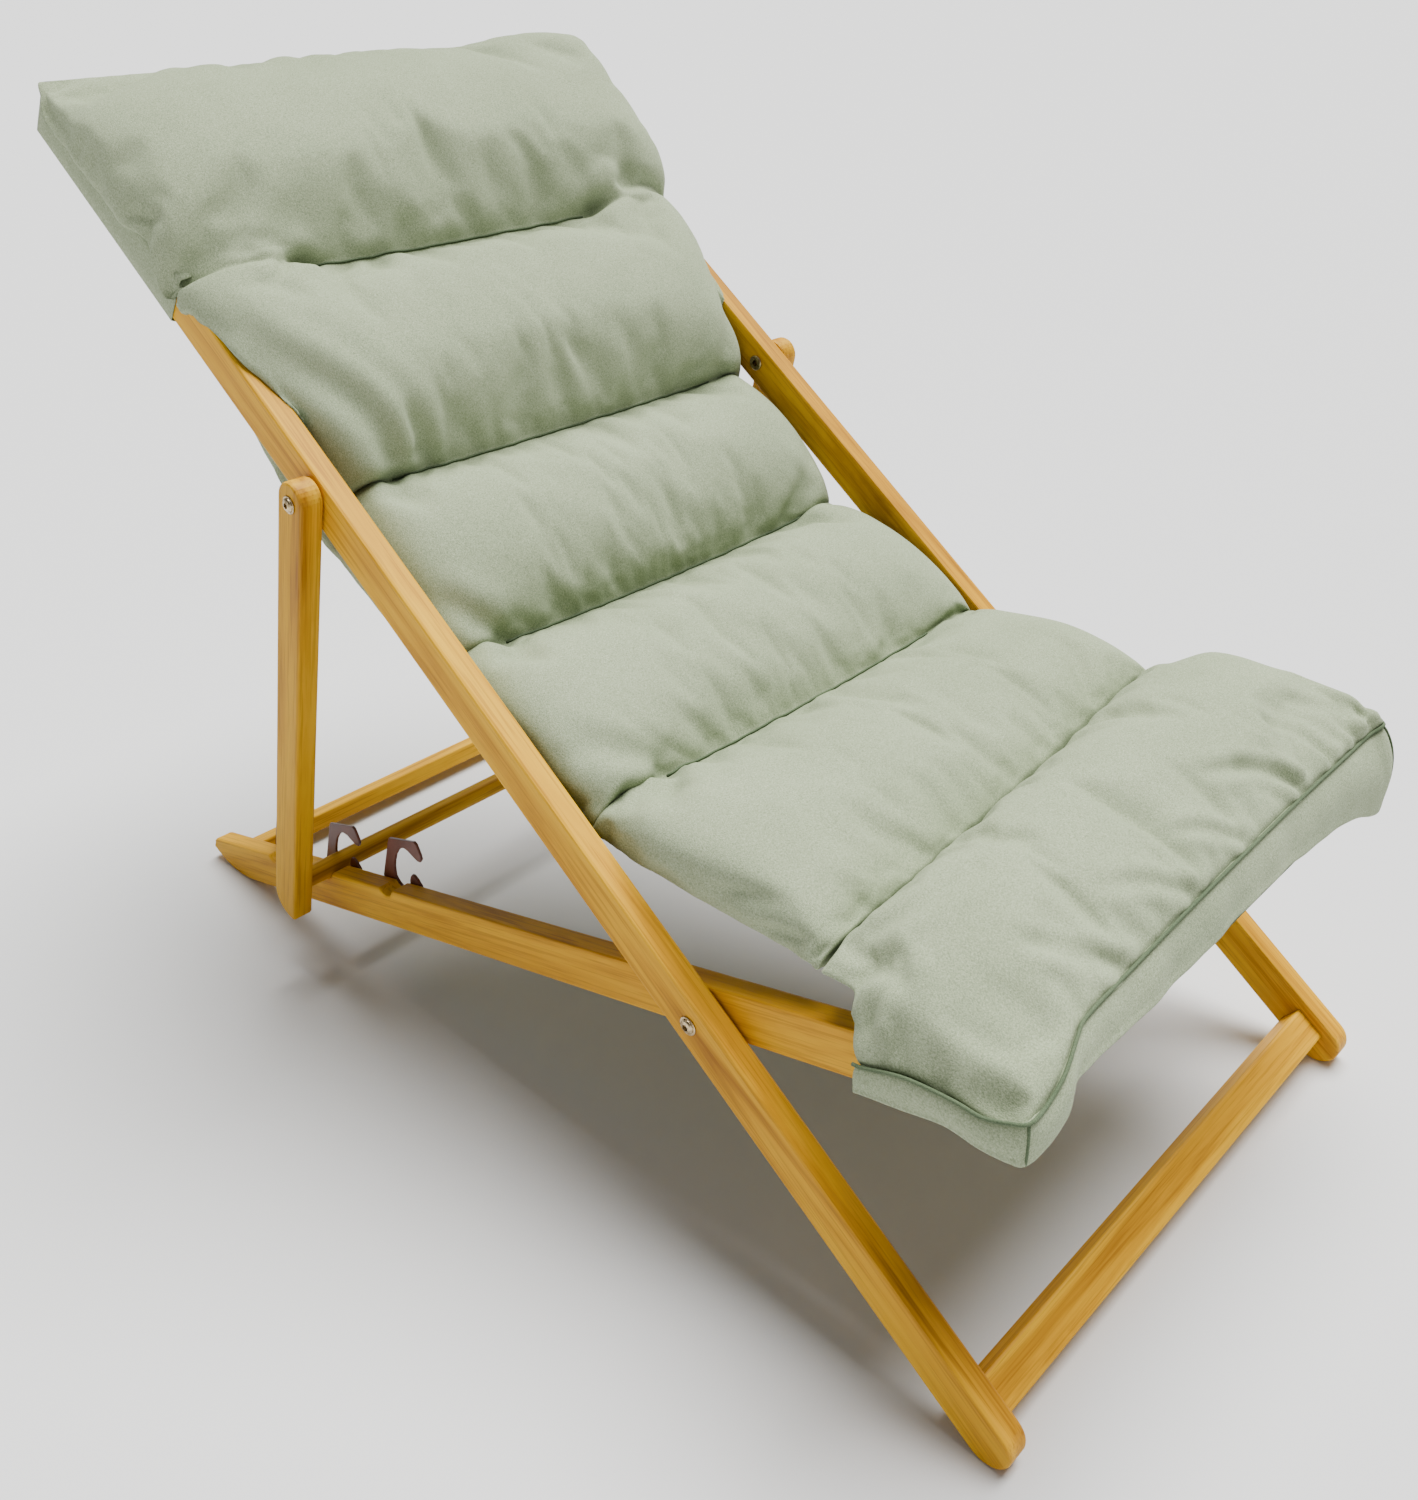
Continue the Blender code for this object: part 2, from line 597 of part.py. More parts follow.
ground = ground_cutter()
back_frame(ground)
seat_frame(ground)
prop_frame()
catch_hooks()
pivot_hardware("seat_pivot", BACK, 0.0, BACK_OUT)
pivot_hardware("prop_pivot", BACK, PROP_PIVOT_AT, PROP_OUT)
sling()
middle_panels()
head_panel()
knee_panel()
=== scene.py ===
import json
import math

import bmesh
import bpy
import numpy as np
from mathutils import Matrix, Vector


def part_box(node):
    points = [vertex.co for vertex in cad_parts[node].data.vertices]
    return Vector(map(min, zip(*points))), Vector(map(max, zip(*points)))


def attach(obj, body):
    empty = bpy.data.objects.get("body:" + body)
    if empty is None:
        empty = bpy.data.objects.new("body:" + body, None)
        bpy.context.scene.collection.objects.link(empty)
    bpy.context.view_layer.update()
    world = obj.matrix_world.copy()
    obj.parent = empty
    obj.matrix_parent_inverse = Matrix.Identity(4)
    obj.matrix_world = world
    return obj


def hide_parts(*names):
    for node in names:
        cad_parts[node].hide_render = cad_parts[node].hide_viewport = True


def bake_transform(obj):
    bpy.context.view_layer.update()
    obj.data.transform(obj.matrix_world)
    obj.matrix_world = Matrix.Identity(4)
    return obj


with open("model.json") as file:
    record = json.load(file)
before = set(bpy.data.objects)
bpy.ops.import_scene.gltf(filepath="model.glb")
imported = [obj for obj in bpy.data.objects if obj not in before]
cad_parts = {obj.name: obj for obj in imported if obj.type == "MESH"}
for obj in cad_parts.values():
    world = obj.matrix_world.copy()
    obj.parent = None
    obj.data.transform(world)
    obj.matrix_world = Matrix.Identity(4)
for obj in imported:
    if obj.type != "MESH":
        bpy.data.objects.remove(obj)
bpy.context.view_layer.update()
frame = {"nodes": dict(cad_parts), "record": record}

# The folding deck chair's looks: the stuffed cover, its hood and knee pocket, the sling under
# it, and the timber, bolt and fabric materials. Metres; the chair faces -Y; the sitter's left
# is +X. Side views are (y, z) pairs measured from the seat pivot unless they say otherwise.

JOINTS = {joint["name"]: joint for joint in frame["record"]["behaviour"]["joints"]}
PIVOT = Vector(JOINTS["seat_fold"]["pos_m"])
BACK_ANGLE = 36.4            # back rails over the horizontal, towards the head
SEAT_ANGLE = -15.84          # seat rails over the horizontal, towards the rear feet
RAIL_TOP = 0.020             # half the width of a back rail
RAIL_IN, RAIL_OUT = 0.268, 0.290
RAIL_CLEAR = 0.0015          # least air between cloth and timber
OVERHANG = 0.006             # lowest place of the cloth past a rail's outer face
ON_TOP_FROM = 0.56           # along the rails: from here up the cover may lie on their tops
HOOD_FROM = 0.752            # and from here up it always does, over the hood


def on_back(along, above):
    """Side-view place of a point given along and above the back rails' middle line."""
    c, s = math.cos(math.radians(BACK_ANGLE)), math.sin(math.radians(BACK_ANGLE))
    return np.array([along * c - above * s, along * s + above * c])


def on_seat(along, above):
    """Side-view place of a point given along and above the seat rails' middle line."""
    c, s = math.cos(math.radians(SEAT_ANGLE)), math.sin(math.radians(SEAT_ANGLE))
    return np.array([along * c - above * s, along * s + above * c])


def smoothstep(low, high, value):
    share = np.clip((np.asarray(value, float) - low) / (high - low), 0.0, 1.0)
    return share * share * (3 - 2 * share)


def smooth_path(points, steps):
    """Points of a Catmull-Rom curve through the given ones."""
    points = [np.asarray(p, float) for p in points]
    ends = [points[0], *points, points[-1]]
    out = []
    for i in range(len(points) - 1):
        a, b, c, d = ends[i:i + 4]
        for j in range(steps):
            t = j / steps
            out.append(0.5 * (2 * b + (c - a) * t + (2 * a - 5 * b + 4 * c - d) * t ** 2
                              + (3 * b - a - 3 * c + d) * t ** 3))
    return np.array(out + [points[-1]])


def resample(points, count, closed=False):
    """The same line as evenly spaced points."""
    line = np.vstack([points, points[:1]]) if closed else points
    reach = np.concatenate([[0], np.cumsum(np.linalg.norm(np.diff(line, axis=0), axis=1))])
    at = np.linspace(0, reach[-1], count + 1)[:-1] if closed else np.linspace(0, reach[-1], count)
    return np.column_stack([np.interp(at, reach, line[:, k]) for k in range(line.shape[1])])


# ---------------------------------------------------------------- materials

def node_tree(name):
    material = bpy.data.materials.new(name)
    material.use_nodes = True
    tree = material.node_tree
    return material, tree, tree.nodes["Principled BSDF"]


def add(tree, kind, inputs=None, **settings):
    """A shader node with its settings and inputs; an input is a value or another node's output."""
    node = tree.nodes.new(kind)
    for key, value in settings.items():
        setattr(node, key, value)
    for key, value in (inputs or {}).items():
        if isinstance(value, bpy.types.NodeSocket):
            tree.links.new(value, node.inputs[key])
        else:
            node.inputs[key].default_value = value
    return node


def ramp(tree, factor, stops):
    """A colour ramp over the factor. A stop is (position, (r, g, b))."""
    node = add(tree, "ShaderNodeValToRGB", {"Fac": factor})
    elements = node.color_ramp.elements
    while len(elements) < len(stops):
        elements.new(0.5)
    for element, (position, colour) in zip(elements, stops):
        element.position = position
        element.color = (*colour, 1.0)
    return node.outputs["Color"]


def mapped(tree, rotation_x, scale):
    """Coordinates of the piece itself, turned about X and then scaled."""
    place = add(tree, "ShaderNodeTexCoord").outputs["Object"]
    turn = add(tree, "ShaderNodeMapping", {"Vector": place, "Rotation": (rotation_x, 0, 0)})
    return add(tree, "ShaderNodeMapping", {"Vector": turn.outputs["Vector"], "Scale": scale})


def timber(name, angle, dark=1.0, across=False):
    """Oiled hardwood whose grain runs along rails at an angle, or along X for a cross bar."""
    material, tree, shader = node_tree(name)
    turn = math.radians(-angle)
    along, over = 2.2, 34.0
    scale = (along, over, over) if across else (over, along, over)
    grain_place = mapped(tree, turn, scale).outputs["Vector"]
    fine_scale = (9.0, 420.0, 420.0) if across else (420.0, 9.0, 420.0)
    fine_place = mapped(tree, turn, fine_scale).outputs["Vector"]
    figure = add(tree, "ShaderNodeTexNoise", {"Vector": grain_place, "Scale": 1.0, "Detail": 6.0,
                                              "Roughness": 0.62, "Distortion": 0.9})
    pores = add(tree, "ShaderNodeTexNoise", {"Vector": fine_place, "Scale": 1.0, "Detail": 3.0,
                                             "Roughness": 0.6})
    base = ramp(tree, figure.outputs["Fac"], [
        (0.28, (0.370 * dark, 0.145 * dark, 0.001 * dark)),
        (0.45, (0.640 * dark, 0.305 * dark, 0.004 * dark)),
        (0.58, (0.770 * dark, 0.405 * dark, 0.008 * dark)),
        (0.76, (0.870 * dark, 0.500 * dark, 0.016 * dark)),
    ])
    streaks = ramp(tree, pores.outputs["Fac"], [(0.36, (0.55, 0.44, 0.32)), (0.50, (1, 1, 1))])
    colour = add(tree, "ShaderNodeMix", data_type="RGBA", blend_type="MULTIPLY")
    colour.inputs["Factor"].default_value = 0.55
    tree.links.new(base, colour.inputs["A"])
    tree.links.new(streaks, colour.inputs["B"])
    tree.links.new(colour.outputs["Result"], shader.inputs["Base Color"])
    gloss = add(tree, "ShaderNodeMapRange", {"Value": figure.outputs["Fac"],
                                             "To Min": 0.46, "To Max": 0.60})
    shader.inputs["Specular IOR Level"].default_value = 0.18
    tree.links.new(gloss.outputs["Result"], shader.inputs["Roughness"])
    bump = add(tree, "ShaderNodeBump", {"Height": pores.outputs["Fac"],
                                        "Strength": 0.10, "Distance": 0.0006})
    tree.links.new(bump.outputs["Normal"], shader.inputs["Normal"])
    return material


def thread_noise(tree, scale):
    """Uneven threads: noise drawn out one way over the cloth."""
    place = mapped(tree, 0.5, scale).outputs["Vector"]
    return add(tree, "ShaderNodeTexNoise", {"Vector": place, "Scale": 1.0, "Detail": 1.5})


def woven(name, colours, sheen, coarse=1.0):
    """Heathered cloth: two crossed sets of uneven threads, flecked, with slow changes of tone, and
    painted shade in its seams and deeper folds.
    """
    material, tree, shader = node_tree(name)
    thin, long = 1900 / coarse, 620 / coarse
    warp = thread_noise(tree, (thin, long, long))
    weft = thread_noise(tree, (long, thin, thin))
    place = add(tree, "ShaderNodeTexCoord").outputs["Object"]
    tone = add(tree, "ShaderNodeTexNoise", {"Vector": place, "Scale": 9.0, "Detail": 4.0,
                                            "Roughness": 0.6})
    cloth = add(tree, "ShaderNodeMath", {0: warp.outputs["Fac"], 1: weft.outputs["Fac"]}, operation="ADD")
    slow = add(tree, "ShaderNodeMath", {0: tone.outputs["Fac"], 1: 0.16}, operation="MULTIPLY")
    both = add(tree, "ShaderNodeMath", {0: cloth.outputs["Value"], 1: 0.50,
                                        2: slow.outputs["Value"]}, operation="MULTIPLY_ADD")
    dark, mid, light = colours
    colour = ramp(tree, both.outputs["Value"], [(0.38, dark), (0.58, mid), (0.78, light)])
    # painted shade: ambient occlusion darkens the base colour in the seams and the deeper folds
    hollow = add(tree, "ShaderNodeAmbientOcclusion", {"Distance": 0.05}, samples=8)
    shade = ramp(tree, hollow.outputs["AO"], [(0.05, (0.22, 0.27, 0.17)), (0.55, (0.80, 0.82, 0.77)),
                                              (0.95, (1, 1, 1))])
    painted_fold_shade = add(tree, "ShaderNodeMix", data_type="RGBA", blend_type="MULTIPLY")
    painted_fold_shade.inputs["Factor"].default_value = 1.0
    tree.links.new(colour, painted_fold_shade.inputs["A"])
    tree.links.new(shade, painted_fold_shade.inputs["B"])
    tree.links.new(painted_fold_shade.outputs["Result"], shader.inputs["Base Color"])
    rough = add(tree, "ShaderNodeMapRange", {"Value": warp.outputs["Fac"],
                                             "To Min": 0.84, "To Max": 0.98})
    tree.links.new(rough.outputs["Result"], shader.inputs["Roughness"])
    bump = add(tree, "ShaderNodeBump", {"Height": cloth.outputs["Value"],
                                        "Strength": 0.35, "Distance": 0.0006})
    tree.links.new(bump.outputs["Normal"], shader.inputs["Normal"])
    shader.inputs["Specular IOR Level"].default_value = 0.20
    shader.inputs["Sheen Weight"].default_value = sheen
    shader.inputs["Sheen Roughness"].default_value = 0.5
    shader.inputs["Sheen Tint"].default_value = (0.84, 0.92, 0.74, 1.0)
    return material


def bronzed():
    """Bronze-plated steel, lightly rubbed."""
    material, tree, shader = node_tree("bronzed_steel_look")
    place = add(tree, "ShaderNodeTexCoord").outputs["Object"]
    rub = add(tree, "ShaderNodeTexNoise", {"Vector": place, "Scale": 380.0, "Detail": 4.0})
    colour = ramp(tree, rub.outputs["Fac"], [(0.35, (0.28, 0.20, 0.10)), (0.65, (0.62, 0.50, 0.30))])
    tree.links.new(colour, shader.inputs["Base Color"])
    rough = add(tree, "ShaderNodeMapRange", {"Value": rub.outputs["Fac"],
                                             "To Min": 0.22, "To Max": 0.42})
    tree.links.new(rough.outputs["Result"], shader.inputs["Roughness"])
    shader.inputs["Metallic"].default_value = 1.0
    return material


def moulded(name, dark, light, rough_low, rough_high):
    """Moulded nylon with a faint grain."""
    material, tree, shader = node_tree(name)
    place = add(tree, "ShaderNodeTexCoord").outputs["Object"]
    cloud = add(tree, "ShaderNodeTexNoise", {"Vector": place, "Scale": 60.0, "Detail": 4.0})
    grain = add(tree, "ShaderNodeTexNoise", {"Vector": place, "Scale": 1800.0, "Detail": 1.0})
    colour = ramp(tree, cloud.outputs["Fac"], [(0.35, dark), (0.70, light)])
    tree.links.new(colour, shader.inputs["Base Color"])
    rough = add(tree, "ShaderNodeMapRange", {"Value": cloud.outputs["Fac"],
                                             "To Min": rough_low, "To Max": rough_high})
    tree.links.new(rough.outputs["Result"], shader.inputs["Roughness"])
    bump = add(tree, "ShaderNodeBump", {"Height": grain.outputs["Fac"],
                                        "Strength": 0.08, "Distance": 0.0003})
    tree.links.new(bump.outputs["Normal"], shader.inputs["Normal"])
    return material


SAGE = woven("sage_weave", ((0.170, 0.212, 0.118), (0.320, 0.375, 0.232), (0.490, 0.540, 0.370)),
             sheen=0.12)
CANVAS = woven("sage_canvas", ((0.030, 0.050, 0.028), (0.075, 0.110, 0.062), (0.13, 0.17, 0.10)),
               sheen=0.05, coarse=1.6)
THREAD = woven("sage_thread", ((0.045, 0.070, 0.036), (0.10, 0.14, 0.075), (0.18, 0.22, 0.13)),
               sheen=0.05, coarse=0.6)


def middle_of(node_name):
    """The middle of a CAD node's box."""
    low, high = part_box(node_name)
    return Vector([(a + b) / 2 for a, b in zip(low, high)])


def dress_cad():
    """Gives every carried-over CAD node its finished material."""
    prop = Vector(JOINTS["prop_swing"]["pos_m"]) - middle_of("prop_dowel")
    prop_angle = math.degrees(math.atan2(prop.z, prop.y))
    looks = {
        "back_rail": timber("back_rail_wood", BACK_ANGLE),
        "seat_rail": timber("seat_rail_wood", SEAT_ANGLE),
        "prop_rail": timber("prop_rail_wood", prop_angle, dark=0.86),
        "bar": timber("cross_bar_wood", 0.0, dark=0.96, across=True),
        "dowel": timber("dowel_wood", 0.0, dark=0.84, across=True),
        "catch_hook": moulded("brown_nylon_look", (0.095, 0.022, 0.012), (0.150, 0.042, 0.025),
                              0.28, 0.42),
        "washer": moulded("washer_nylon_look", (0.02, 0.02, 0.02), (0.05, 0.05, 0.05), 0.45, 0.6),
        **dict.fromkeys(("bolt", "nut", "screw"), bronzed()),
    }
    for name, node in frame["nodes"].items():
        look = next((value for key, value in looks.items() if key in name), SAGE)
        for slot in node.material_slots:
            slot.material = look


# ---------------------------------------------------------------- the cover's lines

KNEE_BAR_TOP = on_seat(-0.2655, 0.0136)
HEAD_BAR_UNDER = on_back(0.955, -0.0166)
SLING_SPAN = (
    (-0.200, 0.082), (-0.135, 0.0745), (-0.040, 0.0705), (0.090, 0.0715), (0.200, 0.0935),
    (0.310, 0.1400), (0.420, 0.2110), (0.500, 0.2690), (0.570, 0.3300), (0.650, 0.4180),
)


def sling_span(steps):
    """The sling's middle line from the knee bar's top to the head bar's underside."""
    return smooth_path([KNEE_BAR_TOP, *SLING_SPAN, HEAD_BAR_UNDER], steps)


def as_mesh(name, verts, faces):
    """A mesh object from side-view built vertices, which are moved to the pivot's place."""
    mesh = bpy.data.meshes.new(name)
    mesh.from_pydata((np.asarray(verts) + np.array([0, PIVOT.y, PIVOT.z])).tolist(), [], faces)
    body = bmesh.new()
    body.from_mesh(mesh)
    bmesh.ops.recalc_face_normals(body, faces=body.faces)
    body.to_mesh(mesh)
    body.free()
    mesh.shade_smooth()
    obj = bpy.data.objects.new(name, mesh)
    bpy.context.scene.collection.objects.link(obj)
    return obj


def tube_faces(rows, around, caps=True):
    """Quads of closed rings in a row. The end rings are zipped shut from underside to top."""
    faces = []
    for i in range(rows - 1):
        for j in range(around):
            k = (j + 1) % around
            faces.append((i * around + j, i * around + k, (i + 1) * around + k, (i + 1) * around + j))
    if caps:
        side = around // 4
        for row, turn in ((0, 1), (rows - 1, -1)):
            for j in range(around // 2):
                corners = (side - j, side - j - 1, side + j + 1, side + j)
                quad = list(dict.fromkeys(row * around + k % around for k in corners))[::turn]
                if len(quad) >= 3:
                    faces.append(tuple(quad))
    return faces


def strip_ends(rows, around):
    """Faces that close both ends of a thin sheet; its rings go out on one face and back on the other."""
    faces = []
    for row in (0, rows - 1):
        for j in range(around // 2 - 1):
            a, b = row * around + j, row * around + j + 1
            c, d = row * around + around - 2 - j, row * around + around - 1 - j
            faces.append((a, b, c, d) if row else (d, c, b, a))
    return faces


def padded_ring(width, height, count, side_power=7.0, top_power=2.1, belly=0.42):
    """A stuffed pad's cross-section as (x, share of its height) pairs, from its bottom middle."""
    a = np.linspace(-math.pi / 2, 1.5 * math.pi, 721)[:-1]
    x = width * np.sign(np.cos(a)) * np.abs(np.cos(a)) ** (2 / side_power)
    up = np.sign(np.sin(a)) * np.abs(np.sin(a)) ** (2 / top_power)
    z = np.where(up > 0, belly + (1 - belly) * up, belly + belly * up) * height
    ring = resample(np.column_stack([x, z]), count, closed=True)
    return np.column_stack([ring[:, 0], ring[:, 1] / height])


def clear_of_rails(verts):
    """Moves cloth out of the back rails: up onto their tops, or inwards off their inner faces.

    Past a rail's outer face the cloth may hang a little below the rail's top.
    """
    c, s = math.cos(math.radians(BACK_ANGLE)), math.sin(math.radians(BACK_ANGLE))
    along = verts[:, 1] * c + verts[:, 2] * s
    above = -verts[:, 1] * s + verts[:, 2] * c
    side = np.abs(verts[:, 0])
    floor = np.where(side > RAIL_OUT + RAIL_CLEAR, OVERHANG, RAIL_TOP + RAIL_CLEAR)
    near = (side > RAIL_IN - RAIL_CLEAR) & (above < floor) & (above > -0.06)
    outer_half = (side > (RAIL_IN + RAIL_OUT) / 2) & (along > HOOD_FROM)
    lift = near & ((above > 0.004) | outer_half) & (along > ON_TOP_FROM)
    push = near & ~lift
    new_above = np.where(lift, floor, above)
    new_x = np.where(push, np.sign(verts[:, 0]) * (RAIL_IN - RAIL_CLEAR), verts[:, 0])
    out = np.column_stack([new_x, along * c - new_above * s, along * s + new_above * c])
    return np.where(near[:, None], out, verts)


# Cross seams on the cover's top, from the knees to the head; the last point is the head end
SEAMS = ((-0.0935, 0.1130), (0.126, 0.1215), (0.306, 0.1870), (0.438, 0.3050), (0.583, 0.4640))
CROWNS = (0.024, 0.034, 0.036, 0.046)     # how high each panel's crown stands over its seams
BELLIES = (0.42, 0.42, 0.30, 0.34)        # share of each panel's height that is under its edge
LEANS = (0.50, 0.48, 0.46, 0.38)          # where along a panel its crown is highest
STITCH_HALF = (0.262, 0.185, 0.200, 0.205, 0.172)   # half length of the stitched part of a seam
OPENNESS = (0.10, 0.35, 0.32, 0.30, 0.50)           # how far a seam opens at the cover's edges
RING = 168                                # vertices round the cover
PANEL_ROWS = (30, 28, 26, 32)
LINE_STEPS = 200                          # points on a line that rows are read from


def crown_shape(share, lean):
    """Bulge of a panel from seam to seam, highest at its lean."""
    warped = share ** (math.log(0.5) / math.log(lean))
    return np.sin(math.pi * warped) ** 0.62


def pinch(seam, x):
    """How firmly a seam holds the cloth down at each place across: 1 where it is stitched."""
    reach = STITCH_HALF[seam]
    return 1 - OPENNESS[seam] * smoothstep(reach - 0.015, reach + 0.045, np.abs(x))


def half_width(along):
    """Half width of the cover at a place along the back rails' direction."""
    places = (-0.40, 0.10, 0.46, 0.53, 0.60, 0.66, 0.71, 0.76, 0.90, 0.985, 1.01)
    widths = (0.262, 0.262, 0.263, 0.267, 0.274, 0.284, 0.297, 0.301, 0.303, 0.300, 0.292)
    return np.interp(along, places, widths)


def panel_rows(number, rows):
    """Rows of one panel: (place between its seams, foot on the sling, share along, way outwards)."""
    floor = sling_span(12)
    low, high = (np.array(p) for p in SEAMS[number:number + 2])
    first = np.argmin(np.linalg.norm(floor - low, axis=1))
    last = np.argmin(np.linalg.norm(floor - high, axis=1))
    feet = resample(floor[first:last + 1], LINE_STEPS)
    # rows crowd together towards both seams
    even = np.linspace(0, 1, rows)
    shares = even - 0.10 * np.sin(2 * math.pi * even)
    chord = high - low
    across = np.array([-chord[1], chord[0]]) / np.linalg.norm(chord)
    out = []
    for share in shares:
        foot = np.array([np.interp(share, np.linspace(0, 1, LINE_STEPS), feet[:, k]) for k in (0, 1)])
        out.append((low + chord * share, foot, share, across))
    return out


def body_panels():
    """Vertices of the long cover from the knee seam to the head end, and its stitched ones."""
    rings, held = [], []
    for number in range(4):
        rows = panel_rows(number, PANEL_ROWS[number])
        for k, (chord_point, foot, share, across) in enumerate(rows):
            if k == 0 and number > 0:
                continue
            along = float(np.dot(chord_point, on_back(1, 0)))
            width = half_width(along)
            if number < 3 or share < 0.5:
                # the cover is drawn in at every seam but the headrest's
                width -= 0.004 * (1 - math.sin(math.pi * share))
            crest = crown_shape(share, LEANS[number])
            sample = padded_ring(width, 0.085, RING, side_power=10.0, belly=BELLIES[number])
            x = sample[:, 0]
            seam = number if share < 0.5 else number + 1
            loft = CROWNS[number] * (1 - (1 - crest) * pinch(seam, x))
            dip = 0.009 * (1 - (x / width) ** 2)
            top = chord_point + across * loft[:, None] - across * dip[:, None]
            if number == 0:
                askew = np.column_stack(knee_seam(x)) - np.array(SEAMS[0])
                top = top + askew * (1 - float(smoothstep(0.0, 0.8, share)))
            # beside the rails' inner faces the padding hangs below the sling
            hang = 0.016 * smoothstep(0.36, 0.46, along) * (1 - smoothstep(0.58, 0.66, along))
            hang = hang * smoothstep(0.236, 0.252, np.abs(x))[:, None]
            base = foot + across * (0.003 - hang)
            point = base + (top - base) * sample[:, 1:2]
            rings.append(np.column_stack([x, point]))
            at_seam = k in (0, len(rows) - 1)
            stitched = at_seam & (np.abs(x) < STITCH_HALF[seam])
            held.append((stitched & (sample[:, 1] > 0.9)) | (sample[:, 1] < 0.20))
    return rings, held


# Height of the headrest's left edge along the rail: it falls off only just before the head end
LEFT_EDGE_ALONG = (0.74, 0.83, 0.90, 0.94, 0.96, 0.985, 1.003)
LEFT_EDGE_ABOVE = (0.066, 0.071, 0.082, 0.087, 0.073, 0.050, 0.037)
HEAD_ROOF = (                              # (along, above) on the headrest's top, from its seam
    (0.7455, 0.0285), (0.7560, 0.0480), (0.786, 0.0660), (0.840, 0.0760), (0.900, 0.0740),
    (0.950, 0.0580), (0.985, 0.0410), (1.003, 0.0300),
)
HEAD_ROWS = 40
ROOF_STEPS = 400
BEHIND_RAILS = -0.048                      # the cover's underside where the headrest begins
HEAD_END_ABOVE = 0.030                     # where the headrest closes


def head_rings():
    """The headrest panel, which lies over the rails from the last seam to the head end."""
    line = resample(smooth_path(HEAD_ROOF, 8), ROOF_STEPS)
    rings, held = [], []
    for share in np.linspace(0, 1, HEAD_ROWS)[1:]:
        along, above = (np.interp(share, np.linspace(0, 1, ROOF_STEPS), line[:, k]) for k in (0, 1))
        rise = RAIL_TOP + 0.006 - BEHIND_RAILS
        base_above = BEHIND_RAILS + rise * smoothstep(0.745, 0.800, along)
        closing = smoothstep(0.965, 1.006, along)
        width = half_width(along)
        # the left side stands up squarely, and the right side rounds off
        square = float(smoothstep(0.71, 0.79, along))
        rounded = padded_ring(width, 0.07, RING, belly=0.16)
        boxy = padded_ring(width, 0.07, RING, side_power=7 + 5 * square,
                           top_power=2.1 + 1.9 * square, belly=0.16)
        sample = rounded + (boxy - rounded) * smoothstep(-0.10, 0.15, rounded[:, 0:1])
        x = sample[:, 0]
        # at the edges the seam does not hold, and the panel runs on from the one below
        edge_above = 0.052 + 0.028 * smoothstep(0.74, 0.90, along)
        free = (1 - pinch(4, x)) / OPENNESS[4] * (1 - smoothstep(0.80, 0.90, along))
        high = above * (1 - free) + max(edge_above, above) * free
        far_edge = np.interp(along, LEFT_EDGE_ALONG, LEFT_EDGE_ABOVE)
        on_left = smoothstep(0.15, 0.28, x) * smoothstep(0.745, 0.77, along)
        high = high + (max(far_edge, above) - high) * on_left
        base = base_above + (HEAD_END_ABOVE - base_above) * 0.7 * closing
        # past the hood's sides the cloth hangs down a little way
        past_hood = smoothstep(0.292, 0.296, np.abs(x)) * smoothstep(0.800, 0.840, along)
        base = base - 0.020 * past_hood * (1 - closing)
        up = base + (high - base) * sample[:, 1]
        point = np.array([on_back(along, n) for n in up])
        rings.append(np.column_stack([x, point]))
        held.append(sample[:, 1] < 0.22)
    return rings, held


# The knee pocket's edge, from the right rail's side round the front to the left one's: the piping,
# the hem under it, and how far the cloth between them stands out. The pocket hangs lower on the
# right, where it has slipped down past the rail, than on the left. The stations were read from the
# photo through its fitted camera by a separate script, and some were then moved by hand.
KNEE_EDGE = (
    ((-0.2900, -0.1550, 0.0595), (-0.2890, -0.1550, 0.0340), 0.002),
    ((-0.2905, -0.1640, 0.0620), (-0.2895, -0.1620, 0.0368), 0.002),
    ((-0.2910, -0.1965, 0.0744), (-0.2900, -0.1950, 0.0450), 0.003),
    ((-0.2910, -0.2320, 0.0792), (-0.2900, -0.2281, 0.0540), 0.003),
    ((-0.2905, -0.2550, 0.0790), (-0.2900, -0.2546, 0.0525), 0.003),
    ((-0.2890, -0.2750, 0.0862), (-0.2895, -0.2765, 0.0545), 0.003),
    ((-0.2840, -0.2815, 0.0880), (-0.2870, -0.2840, 0.0565), 0.002),
    ((-0.2650, -0.2800, 0.0870), (-0.2640, -0.2850, 0.0575), 0.004),
    ((-0.2440, -0.2775, 0.0915), (-0.2440, -0.2835, 0.0600), 0.005),
    ((-0.2300, -0.2740, 0.0950), (-0.2360, -0.2820, 0.0650), 0.005),
    ((-0.2110, -0.2680, 0.1003), (-0.2250, -0.2775, 0.0760), 0.003),
    ((-0.1930, -0.2640, 0.1030), (-0.2020, -0.2770, 0.0755), 0.003),
    ((-0.1310, -0.2620, 0.1040), (-0.1310, -0.2770, 0.0735), 0.003),
    ((-0.0320, -0.2620, 0.1105), (-0.0320, -0.2770, 0.0750), 0.003),
    ((0.0600, -0.2620, 0.1140), (0.0600, -0.2770, 0.0780), 0.003),
    ((0.1440, -0.2620, 0.1160), (0.1440, -0.2775, 0.0730), 0.004),
    ((0.2200, -0.2620, 0.1155), (0.2200, -0.2790, 0.0620), 0.008),
    ((0.2680, -0.2625, 0.1165), (0.2640, -0.2815, 0.0460), 0.012),
    ((0.2865, -0.2680, 0.1225), (0.2860, -0.2800, 0.0400), 0.011),
    ((0.2890, -0.2500, 0.1180), (0.2900, -0.2550, 0.0380), 0.008),
    ((0.2900, -0.2200, 0.1100), (0.2900, -0.2200, 0.0420), 0.004),
    ((0.2905, -0.1900, 0.1000), (0.2900, -0.1900, 0.0400), 0.003),
    ((0.2900, -0.1500, 0.0820), (0.2890, -0.1500, 0.0330), 0.002),
)
